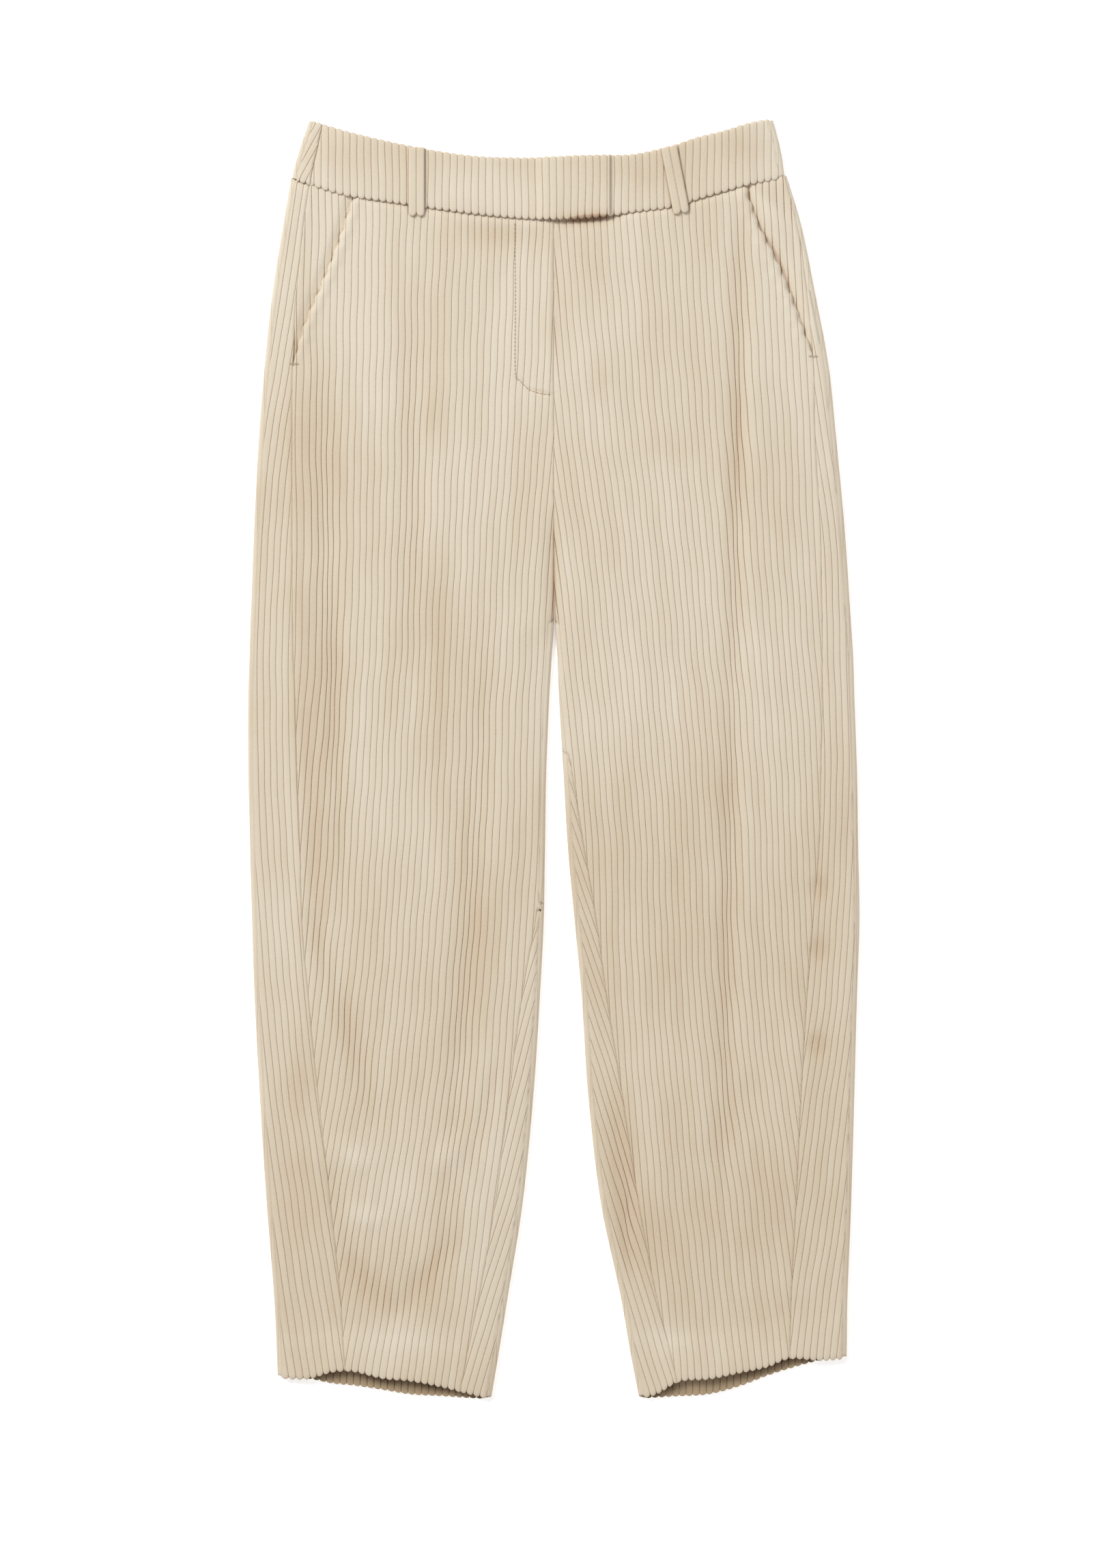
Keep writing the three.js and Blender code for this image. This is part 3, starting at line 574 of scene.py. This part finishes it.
def back_panel(name, leg):
    s = leg.side
    places = row_places(LEG_SPAN)
    bends = np.radians((90, 68, 45, 22))

    def make(t, plain):
        dark = edge_shade(t, LEG_SPAN)
        in_hem = t > 1 - HEM_DEEP / LEG_SPAN
        row_y, under_y = leg.top_y(t), leg.under_y(t)
        seam = cross(leg.seam, row_y) - s * SEWN
        outer, edge = cross(leg.outer, row_y), cross(leg.inner, row_y)
        y = float(row_y(edge))
        stripped = bool(leg.strip(y) > 0)
        inseam = cross(leg.inseam, row_y) + s * SEWN
        p = float(leg.parted(y))
        line = Line()
        tip = float(tip_at(t, LEG_SPAN)) * (t > 0.5)
        sag = float(edge_sag(t, LEG_SPAN) * (t > 0.5) + tuck(t))

        # Painted shade on the back's inner edge where the legs part.
        painted_fork_shade = float(ease((y - FORK[1] + 0.006) / 0.012)) if s * edge < 0.006 else 0.0

        def spot(key, x, z, at=under_y):
            shade = max(dark, painted_fork_shade * float(abs(x - edge) < 0.006))
            line.add(key, x, at(x), z, (x - s * HEM_GRAIN) / HEM_PITCH, at(x), shade)

        # Painted shade along the cut edges and beside both ends of each strip.
        def strip(start, end, grain, base):
            wale_line(line, row_y, start, end, lambda y: leg.table(grain, y), leg.pitch, leg.height,
                      base=base, plain=plain, tip=tip, sag=sag, shade=dark, side_shade=(0.2, 0.2))

        width = s * (outer - seam)
        if width > FOLD_R + 0.003:
            strip(seam, outer - s * TURN, "edge_grain", 0)
        else:
            spot(-50, seam, float(leg.height(seam, row_y(seam))) - (CLOTH if plain else 0) - sag, row_y)
        if plain:
            if width > CLOTH + INNER_R + 0.0006:
                spot(980, outer - s * (CLOTH + INNER_R), FLAT_TOP - CLOTH - sag, row_y)
            spot(1000, outer - s * CLOTH, FOLD_R, row_y)
            spot(1010, outer - s * (CLOTH + INNER_R), CLOTH)
        else:
            for i, a in enumerate(bends):
                d = FOLD_R * (1 - np.cos(a))
                if width > d + 0.0004:
                    spot(980 + 4 * i, outer - s * d, FOLD_R * (1 + np.sin(a)) - sag * np.sin(a), row_y)
            for i, a in enumerate((0, *-bends[::-1])):
                spot(1000 + i, outer - s * FOLD_R * (1 - np.cos(a)), FOLD_R * (1 + np.sin(a)),
                     row_y if i == 0 else under_y)
        a, b = outer - s * FOLD_R, edge + s * (p * FOLD_R + 0.003)
        if in_hem:
            hem_wales(line, a, b, under_y, leg, plain, tip)
        else:
            for i in range(1, 13):
                spot(1100 + i, mix(a, b, i / 12), CLOTH if plain else 0)
        if plain:
            spot(1990, edge + s * mix(0.0008, CLOTH + INNER_R, p), CLOTH)
            spot(2000, edge + s * p * CLOTH, mix(CLOTH, FOLD_R - 0.0001, p), row_y)
        else:
            for i, a in enumerate(-bends[:-1]):
                d = mix(0.0016 * (3 - i) / 3, FOLD_R * (1 - np.cos(a)), p)
                spot(1985 + i, edge + s * d, p * FOLD_R * (1 + np.sin(a)))
            spot(2000, edge, p * (FOLD_R - 0.0001), row_y)
        if not stripped:
            return line
        if plain:
            spot(2010, edge + s * (CLOTH + INNER_R), FLAT_TOP - CLOTH - sag, row_y)
        else:
            for i, a in enumerate(bends[::-1]):
                spot(2002 + i, edge + s * FOLD_R * (1 - np.cos(a)), FOLD_R * (1 + np.sin(a)) - sag * np.sin(a),
                     row_y)
        strip(edge + s * TURN, inseam, "inside_grain", 3000)
        return line

    return Cloth().wall(*rows_of(places, make)).mesh(name)


def pocket_facing(name, leg, bump):
    """The cloth that shows behind the slanted edge, with the bulge of the pocket's mouth on one side."""
    span = 0.150
    places = row_places(span)

    def make(t, plain):
        row_y = leg.top_y(t * span / LEG_SPAN)
        start, mouth = cross(leg.seam, row_y), cross(leg.pocket, row_y)
        end = mouth - leg.side * 0.005

        def over_bulge(x, y):
            return (y - BULGE[1] + BULGE_SLOPE * (x - BULGE[0])) / np.hypot(1, BULGE_SLOPE)

        def height(x, y):
            near = leg.side * (x - mouth)
            drop = 0.0006 * ease(leg.side * (start - x) / 0.006) + 0.0024 * (1 - ease(near / 0.008))
            swell = bump * np.exp(-(((over_bulge(x, y) + 0.006) / 0.0055) ** 2) - ((x - 0.178) / 0.014) ** 2)
            dip = bump * 0.7 * np.exp(-((near - 0.002) / 0.005) ** 2 - ((y - 0.400) / 0.026) ** 2)
            level = leg.height(x, y) - drop + swell - dip - 0.4 * tuck(t * span / LEG_SPAN)
            return np.maximum(level, 2 * CLOTH + 0.0004)

        # Painted shade: deep in the pocket's mouth, stronger above the left facing's bulge, light over the rest and
        # beside the side seam.
        def shade(x, y):
            near = leg.side * (x - mouth)
            wide = leg.mouth("wide", y)
            in_mouth = 0.97 * (1 - ease((near - 0.3 * wide) / (wide + 0.002)))
            under_band = ease((over_bulge(x, y) + 0.001) / 0.004) * (bump > 0.001)
            return np.maximum(in_mouth, 0.2 + 0.5 * under_band)

        return wale_line(Line(), row_y, start, end, leg.grain, leg.pitch, height, plain=plain, shade=shade,
                         side_shade=(0.2, 0.0))

    return Cloth().wall(*rows_of(places, make)).mesh(name)


def band_row(t):
    return lambda x: mix(WAIST("seam", x) + 0.0002, WAIST("top", x), t)


def band_height(t, rise):
    roll = float(edge_sag(t, BAND_DEEP, 0.0009 if t < 0.5 else 0.0016, 0.003))

    def height(x, y):
        away = np.minimum(x - BAND("right", y), BAND("left", y) - x)
        gap = EDGE_GAP + (PUFF * 0.4 + BAND_RISE) * ease((away - FOLD_R) / 0.03) + 0.0003 * drift(x * 1.6, y)
        return 2 * CLOTH + gap - roll + rise(x) + rounded(away) - FLAT_TOP

    return height


def tab_rise(x):
    return np.where(x > TAB_X, 0, TAB_RISE * ease((x - TAB_RAMP[0]) / (TAB_RAMP[1] - TAB_RAMP[0])))


def no_rise(x):
    return 0 * x


def band_places():
    fine = np.array((0.0005, 0.0012, 0.0022, 0.0036, 0.0055))
    return np.concatenate(([0], fine, np.linspace(0.009, 0.037, 9), BAND_DEEP - fine[::-1], [BAND_DEEP])) / BAND_DEEP


def band_tip(t):
    return float(tip_at(t, BAND_DEEP, top=SCALLOP, foot=0.0013))


def band_front(name, start_edge, end_edge, rise, turned):
    def make(t, plain):
        row_y = band_row(t)
        end = cross(end_edge, row_y)
        height = band_height(t, rise)
        # Painted shade along the band's cut edges and beside its start.
        line = wale_line(Line(), row_y, cross(start_edge, row_y), end - TURN if turned else end,
                         lambda y: 0 * y + BAND_GRAIN, lambda y: 0 * y + WAIST_WALE, height, plain=plain,
                         tip=band_tip(t), shade=edge_shade(t, BAND_DEEP), side_shade=(0.3, 0.0))
        if not turned:
            return line
        return turned_end(line, BandEdge(height), end, row_y, 1, plain)

    return Cloth().wall(*rows_of(band_places(), make)).mesh(name)


class BandEdge:
    """The waistband's end as turned_end reads it."""

    def __init__(self, height):
        self.height = height

    def table(self, name, y):
        return {"grain": BAND_GRAIN, "pitch": WAIST_WALE}[name]


def band_back(name):
    bends = np.radians((90, 68, 45, 22))

    def make(t, plain):
        row_y = band_row(t)
        under_y = lambda x: row_y(x) - 0.0015 * t
        right, left = (cross(lambda y, n=n: BAND(n, y), row_y) for n in ("right", "left"))
        seam = cross(lambda y: BAND("seam", y), row_y) - 0.0002
        line = Line()

        def spot(key, x, z, at=under_y):
            line.add(key, x, at(x), z, x / WAIST_WALE, at(x))

        if plain:
            spot(0, left - CLOTH, FOLD_R - 0.0001, row_y)
            spot(10, left - CLOTH - INNER_R, CLOTH)
        else:
            spot(0, left, FOLD_R - 0.0001, row_y)
            for i, a in enumerate(-bends[::-1]):
                spot(4 + i, left - FOLD_R * (1 - np.cos(a)), FOLD_R * (1 + np.sin(a)))
        for i in range(1, 24):
            spot(100 + i, mix(left - FOLD_R, right + FOLD_R, i / 24), CLOTH if plain else 0)
        if plain:
            spot(900, right + CLOTH + INNER_R, CLOTH)
            spot(910, right + CLOTH, FOLD_R, row_y)
            spot(920, right + CLOTH + INNER_R, FLAT_TOP - CLOTH, row_y)
        else:
            for i, a in enumerate(np.concatenate((-bends, [0], bends[::-1]))):
                spot(900 + 2 * i, right + FOLD_R * (1 - np.cos(a)), FOLD_R * (1 + np.sin(a)),
                     row_y if a >= 0 else under_y)
        # Painted shade along the band's cut edges and beside the seam at its end.
        wale_line(line, row_y, right + TURN, seam, lambda y: -0.195 + (y - 0.48) * 0.55,
                  lambda y: 0 * y + WAIST_WALE, band_height(t, no_rise), base=3000, plain=plain, tip=band_tip(t),
                  shade=edge_shade(t, BAND_DEEP), side_shade=(0.0, 0.6))
        return line

    return Cloth().wall(*rows_of(band_places(), make)).mesh(name)


def belt_loop(name, leg, top, foot, half):
    """Two wales wide, turned in at the top of the waistband, with rounded ends below its seam."""
    length = float(np.hypot(top[0] - foot[0], top[1] - foot[1]))
    places = row_places(length, (0.0004, 0.001, 0.002))

    def bed(x, y):
        band = band_height(0.5, tab_rise)(x, y)
        return mix(leg.height(x, y), band, ease((y - WAIST("seam", x) + 0.003) / 0.003)) + WALE + 0.0003

    def make(t, plain):
        cx, cy = mix(top[0], foot[0], t), mix(top[1], foot[1], t)
        base = float(bed(np.array([cx - half, cx, cx + half]), cy).max())
        a = np.linspace(-1, 1, 3 if plain else 25)
        u = a + 1
        s = u - np.floor(u)
        body = wale_shape(s)
        side = np.clip((1 - np.abs(a)) / 0.16, 0, 1)
        z = base + (0 if plain else 0.0012 + 0.0011 * body * side) - float(edge_sag(t, length, 0.0010, 0.003))
        # Painted shade along the loop's two sides and its cut ends.
        dark = np.clip(edge_shade(t, length) + (np.abs(a) > 0.97), 0, 1)
        tip = 0 if plain else float(tip_at(t, length, top=-0.0006, foot=-0.0028)) * tip_shape(s)
        y = cy + a * (foot[0] - top[0]) / length * half + tip
        keys = np.array((0, 12, 24)) if plain else np.arange(len(a))
        return Line().add(keys, cx + a * half, y, z + 0 * a, u, y, dark)

    return Cloth().wall(*rows_of(places, make)).mesh(name)


# Materials


class Value:
    """A shader socket that takes part in sums."""

    def __init__(self, graph, socket):
        self.graph, self.socket = graph, socket

    def math(self, operation, *others, clamp=False):
        return Value(self.graph, self.graph.add("ShaderNodeMath", {"operation": operation, "use_clamp": clamp},
                                                dict(enumerate((self, *others)))).outputs[0])

    def __add__(self, other):
        return self.math("ADD", other)

    def __sub__(self, other):
        return self.math("SUBTRACT", other)

    def __mul__(self, other):
        return self.math("MULTIPLY", other)

    def __truediv__(self, other):
        return self.math("DIVIDE", other)

    def __rsub__(self, other):
        return (self * -1) + other

    __radd__, __rmul__ = __add__, __mul__

    def clamped(self):
        return self.math("ADD", 0.0, clamp=True)


class Graph:
    def __init__(self, name):
        self.material = bpy.data.materials.new(name)
        self.material.use_nodes = True
        self.tree = self.material.node_tree
        self.shader = self.tree.nodes["Principled BSDF"]

    def add(self, kind, settings=None, sockets=None):
        node = self.tree.nodes.new(kind)
        for key, value in (settings or {}).items():
            setattr(node, key, value)
        for key, value in (sockets or {}).items():
            self.plug(node.inputs[key], value)
        return node

    def plug(self, socket, value):
        if isinstance(value, Value):
            value = value.socket
        if isinstance(value, bpy.types.NodeSocket):
            self.tree.links.new(value, socket)
        else:
            socket.default_value = value

    def value(self, socket):
        return Value(self, socket)

    def noise(self, vector, scale, detail=2.0, roughness=0.5):
        node = self.add("ShaderNodeTexNoise", {"noise_dimensions": "3D"},
                        {"Vector": vector, "Scale": scale, "Detail": detail, "Roughness": roughness})
        return self.value(node.outputs[0])

    def blend(self, factor, a, b, kind="MIX"):
        node = self.add("ShaderNodeMix", {"data_type": "RGBA", "blend_type": kind})
        for index, value in ((0, factor), (6, a), (7, b)):
            self.plug(node.inputs[index], value)
        return node.outputs[2]


# Light and tan pile and groove colours; the tan and groove brown also carry painted shade, the light one painted
# highlight, and the last is a painted deep shade.
LIGHT_NAP_AND_HIGHLIGHT = (0.750, 0.668, 0.535, 1)
TAN_NAP_AND_SHADE = (0.615, 0.485, 0.335, 1)
GROOVE_AND_SHADE = (0.370, 0.190, 0.105, 1)
DEEP_SHADE = (0.075, 0.043, 0.022, 1)


def corduroy(name, light=LIGHT_NAP_AND_HIGHLIGHT, tan=TAN_NAP_AND_SHADE, groove=GROOVE_AND_SHADE, shaded=0.0):
    """Wide-wale cord: cream pile in lighter and darker patches, partly painted light and shade, with thin brown
    grooves.
    """
    g = Graph(name)
    place = g.add("ShaderNodeTexCoord").outputs["Object"]
    across = g.add("ShaderNodeSeparateXYZ", None, {0: g.add("ShaderNodeUVMap", {"uv_map": "Wales"}).outputs[0]})
    u, v = (g.value(across.outputs[i]) for i in (0, 1))
    pile = g.noise(place, 1500.0, 2.0)
    fuzz = g.noise(place, 620.0, 2.0)
    share = u.math("FRACT")
    to_groove = share.math("MINIMUM", 1 - share)
    shade, painted_light_and_nap = (g.value(g.add("ShaderNodeAttribute", {"attribute_name": n}).outputs["Fac"])
                      for n in ("shade", "nap_and_painted_light"))
    ragged = to_groove + (fuzz - 0.5) * 0.045
    # Painted shade widens the grooves.
    line = (1 - (ragged - 0.012) / (0.045 + shade * 0.04)).clamped()
    number = (u + 0.02).math("FLOOR")
    wale_place = g.add("ShaderNodeCombineXYZ", None, {0: number * 7.31, 1: v * 9.0, 2: 0.0}).outputs[0]
    by_wale = g.noise(wale_place, 1.0, 2.0)
    along = g.add("ShaderNodeMapping", None, {"Vector": place, "Scale": (1.0, 0.55, 1.0)}).outputs[0]
    patches = g.noise(along, 13.0, 3.0, 0.55)
    broad = g.noise(place, 3.6, 1.0)
    clouds = (patches - 0.5) * 1.2 + (broad - 0.5) * 0.8 + (by_wale - 0.5) * 0.7
    # Painted shade tans the pile; the listed patches add pile tone with painted highlight and shade.
    nap_and_painted_light = (clouds + painted_light_and_nap + shade * 0.4 + 0.36).clamped()
    colour = g.blend(nap_and_painted_light, light, tan)
    colour = g.blend(((pile - 0.5) * 0.5 + 0.1).clamped(), colour, (0.90, 0.83, 0.70, 1))
    # Painted shade deepens the grooves and browns the whole pile where strongest; a shaded copy goes on towards a
    # painted deep shade.
    depth = 0.30 + (by_wale - 0.5) * 0.6 + shade * 0.65
    colour = g.blend((line * depth).clamped(), colour, groove)
    colour = g.blend(((shade - 0.85) * 6).clamped() * 0.6, colour, groove)
    if shaded:
        colour = g.blend(shade * shaded, colour, DEEP_SHADE)
    g.plug(g.shader.inputs["Base Color"], colour)
    g.plug(g.shader.inputs["Roughness"], 0.93)
    g.shader.inputs["Specular IOR Level"].default_value = 0.15
    g.shader.inputs["Sheen Weight"].default_value = 0.08
    g.shader.inputs["Sheen Roughness"].default_value = 0.45
    g.shader.inputs["Sheen Tint"].default_value = (1.0, 0.93, 0.82, 1)
    relief = pile * 0.35 + fuzz * 0.65 - line * 0.8
    bump = g.add("ShaderNodeBump", None, {"Strength": 0.55, "Distance": 0.00035, "Height": relief})
    g.plug(g.shader.inputs["Normal"], bump.outputs[0])
    return g.material


def thread_finish():
    g = Graph("sewing_thread")
    place = g.add("ShaderNodeTexCoord").outputs["Object"]
    twist = g.noise(place, 2600.0, 2.0)
    g.plug(g.shader.inputs["Base Color"], g.blend(twist, (0.40, 0.28, 0.18, 1), (0.60, 0.48, 0.34, 1)))
    g.shader.inputs["Roughness"].default_value = 0.7
    bump = g.add("ShaderNodeBump", None, {"Strength": 0.4, "Distance": 0.0001, "Height": twist})
    g.plug(g.shader.inputs["Normal"], bump.outputs[0])
    return g.material


def floor_finish():
    g = Graph("pale_floor")
    grain = g.noise(g.add("ShaderNodeTexCoord").outputs["Object"], 60.0, 2.0)
    g.plug(g.shader.inputs["Base Color"], g.blend(grain * 0.1, (0.93, 0.93, 0.93, 1), (0.90, 0.90, 0.90, 1)))
    g.shader.inputs["Roughness"].default_value = 0.9
    g.shader.inputs["Emission Color"].default_value = (1, 1, 1, 1)
    g.shader.inputs["Emission Strength"].default_value = 0.4
    return g.material


def dress(piece, materials, nodes=()):
    for material in materials:
        piece.data.materials.append(material)
    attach(piece, "root")
    if nodes:
        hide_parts(*nodes)
    return piece


# Stitches


def pick(piece, test):
    """Select the points of a piece in edit mode by their place."""
    bpy.ops.mesh.select_all(action="DESELECT")
    bpy.ops.object.mode_set(mode="OBJECT")
    for point in piece.data.vertices:
        point.select = bool(test(point.co))
    bpy.ops.object.mode_set(mode="EDIT")


def one_stitch(length, radius):
    """A short arched stitch along X, with narrow ends. It is copied along every run."""
    bpy.ops.object.select_all(action="DESELECT")
    bpy.ops.mesh.primitive_cylinder_add(vertices=6, radius=radius, depth=length, rotation=(0, np.pi / 2, 0))
    piece = bpy.context.object
    bpy.ops.object.transform_apply(location=True, rotation=True, scale=True)
    bpy.ops.object.mode_set(mode="EDIT")
    bpy.ops.mesh.select_mode(type="VERT")
    for share in (-0.28, 0, 0.28):
        bpy.ops.mesh.select_all(action="SELECT")
        bpy.ops.mesh.bisect(plane_co=(share * length, 0, 0), plane_no=(1, 0, 0))
    pick(piece, lambda co: abs(co.x) > 0.45 * length)
    bpy.ops.transform.resize(value=(1, 0.45, 0.45), center_override=(0, 0, 0))
    bpy.ops.transform.translate(value=(0, 0, -0.3 * radius))
    pick(piece, lambda co: abs(co.x) < 0.35 * length)
    bpy.ops.transform.translate(value=(0, 0, 0.4 * radius))
    pick(piece, lambda co: abs(co.x) < 0.05 * length)
    bpy.ops.transform.translate(value=(0, 0, 0.3 * radius))
    bpy.ops.mesh.select_all(action="SELECT")
    bpy.ops.mesh.normals_make_consistent(inside=False)
    bpy.ops.object.mode_set(mode="OBJECT")
    points = [np.array(v.co) for v in piece.data.vertices]
    faces = [tuple(f.vertices) for f in piece.data.polygons]
    bpy.data.meshes.remove(piece.data)
    return points, faces


def stitch_run(points, spacing, length, radius):
    """Copies of one stitch laid end to end along a path of points."""
    shape, shape_faces = one_stitch(length, radius)
    points = np.array(points, float)
    step = np.linalg.norm(np.diff(points, axis=0), axis=1)
    along = np.concatenate(([0], np.cumsum(step)))
    verts, faces = [], []
    for at in np.arange(spacing / 2, along[-1], spacing):
        near, mid, far = (np.array([np.interp(at + k * length / 2, along, points[:, c]) for c in range(3)])
                          for k in (-1, 0, 1))
        axis = (far - near) / np.linalg.norm(far - near)
        across = np.cross((0, 0, 1), axis)
        up = np.cross(axis, across)
        faces += [tuple(i + len(verts) for i in face) for face in shape_faces]
        verts += [mid + p[0] * axis + p[1] * across + p[2] * up for p in shape]
    return verts, faces


def stitches(name, runs):
    verts, faces = [], []
    for run in runs:
        v, f = stitch_run(*run)
        faces += [tuple(i + len(verts) for i in face) for face in f]
        verts += [tuple(p) for p in v]
    mesh = bpy.data.meshes.new(name)
    mesh.from_pydata(verts, [], faces)
    mesh.polygons.foreach_set("use_smooth", [True] * len(faces))
    piece = bpy.data.objects.new(name, mesh)
    bpy.context.collection.objects.link(piece)
    return piece


def on_front(leg, path, lift=0.0009):
    return [(x, y, float(leg.height(x, y)) + lift) for x, y in path]


def curve_through(points, steps=12):
    """Points along a smooth curve through the given ones, in metres."""
    p = np.array(points) * MM
    p = np.vstack((2 * p[0] - p[1], p, 2 * p[-1] - p[-2]))
    out = []
    for i in range(1, len(p) - 2):
        for s in np.linspace(0, 1, steps, endpoint=False):
            a, b, c, d = p[i - 1:i + 3]
            bend, twist = 2 * a - 5 * b + 4 * c - d, 3 * b - a - 3 * c + d
            out.append(0.5 * (2 * b + (c - a) * s + bend * s**2 + twist * s**3))
    return out + [p[-2]]


def studio():
    bpy.ops.object.select_all(action="DESELECT")
    bpy.ops.mesh.primitive_plane_add(size=8, location=(0, 0, -0.00005))
    floor = bpy.context.object
    floor.name = "floor"
    floor.data.materials.append(floor_finish())
    world = bpy.data.worlds.new("studio")
    world.use_nodes = True
    world.node_tree.nodes["Background"].inputs[0].default_value = (1, 1, 1, 1)
    world.node_tree.nodes["Background"].inputs[1].default_value = 0.46
    bpy.context.scene.world = world
    bpy.context.scene.view_settings.view_transform = "Standard"
    for name, place, size, power in (("key", (-3.2, 3.4, 4.2), 2.2, 258), ("fill", (2.4, -1.6, 3.6), 3.0, 34)):
        lamp = bpy.data.lights.new(name, "AREA")
        lamp.size, lamp.energy = size, power
        light = bpy.data.objects.new(name, lamp)
        light.location = place
        light.rotation_mode = "QUATERNION"
        light.rotation_quaternion = (-Vector(place)).to_track_quat("-Z", "Y")
        bpy.context.collection.objects.link(light)


def camera():
    """Straight down from 3 m, with the whole photograph's frame at 0.54 mm a pixel."""
    data = bpy.data.cameras.new("camera")
    distance, tall = 3.0, 2296 * 0.00054
    data.lens = 36 * (distance - 0.006) / tall
    eye = bpy.data.objects.new("camera", data)
    eye.location = (0.00013, -0.0197, distance)
    bpy.context.collection.objects.link(eye)
    bpy.context.scene.camera = eye


def main():
    right, left = (Leg(-1, RIGHT, HEM_RIGHT, POCKET_RIGHT, MOUTH_RIGHT),
                   Leg(1, LEFT, HEM_LEFT, POCKET_LEFT, MOUTH_LEFT))
    cord = corduroy("cream_corduroy")
    # Inner faces: turned-in cloth in darker colours that stand for the shade inside the legs, with more painted shade
    # where the points take it.
    inside = corduroy("shaded_turned_in_corduroy", light=(0.44, 0.315, 0.185, 1), tan=(0.36, 0.25, 0.14, 1),
                      groove=(0.12, 0.07, 0.035, 1), shaded=0.95)
    thread = thread_finish()
    cloths = [
        (front_panel("front_right_cloth", right), ["front_right"], (0.207, 0.945), 0.162, ["back_right"]),
        (front_panel("front_left_cloth", left), ["front_left"], (0.212, 0.945), 0.161, ["back_left"]),
        (back_panel("back_right_cloth", right), ["back_right"], (0.33, 0.97), 0.262, ["floor"]),
        (back_panel("back_left_cloth", left), ["back_left"], (0.33, 0.97), 0.262, ["floor"]),
        (band_back("waistband_back_cloth"), ["waistband_back"], (0.42, 0.046), None, ["floor"]),
        (band_front("waistband_front_right_cloth", lambda y: BAND("seam", y), lambda y: TAB_X, tab_rise, False),
         ["waistband_front_right"], (0.235, 0.046), None, ["waistband_back"]),
        (band_front("waistband_front_left_cloth", lambda y: -0.0016, lambda y: BAND("left", y), no_rise, True),
         ["waistband_front_left"], (0.183, 0.046), None, ["waistband_back"]),
        (belt_loop("belt_loop_right_cloth", right, (-0.1085, 0.4825), (-0.1085, 0.4315), 0.0065),
         ["belt_loop_right"], (0.013, 0.051), None, ["waistband_front_right"]),
        (belt_loop("belt_loop_left_cloth", left, (0.091, 0.483), (0.1005, 0.4335), 0.0065),
         ["belt_loop_left"], (0.013, 0.050), None, ["waistband_front_left"]),
    ]
    for piece, nodes, flat, area, under in cloths:
        dress(piece, (cord, inside), nodes)
    for name, leg, node, bump in (("pocket_facing_right_cloth", right, "pocket_facing_right", 0.0003),
                                  ("pocket_facing_left_cloth", left, "pocket_facing_left", 0.0024)):
        piece = dress(pocket_facing(name, leg, bump), (cord, inside), [node])
        under = ["back_right" if leg is right else "back_left"]
    fly = on_front(right, curve_through([(-31, 424), (-30.5, 360), (-30.5, 306.5), (-26.5, 299), (-20, 292.5),
                                         (-11, 289), (-1.5, 288)]))
    dress(stitches("fly_stitches", [(fly, 0.0031, 0.0024, 0.00028)]), (thread,))
    tacks = [(on_front(leg, [(x - 0.003, y), (x + 0.003, y)], 0.0014), 0.0006, 0.0018, 0.0003)
             for leg, x, y in ((right, -0.2055, 0.3125), (left, 0.205, 0.3185))]
    dress(stitches("pocket_tacks", tacks), (thread,))
    studio()
    camera()


main()
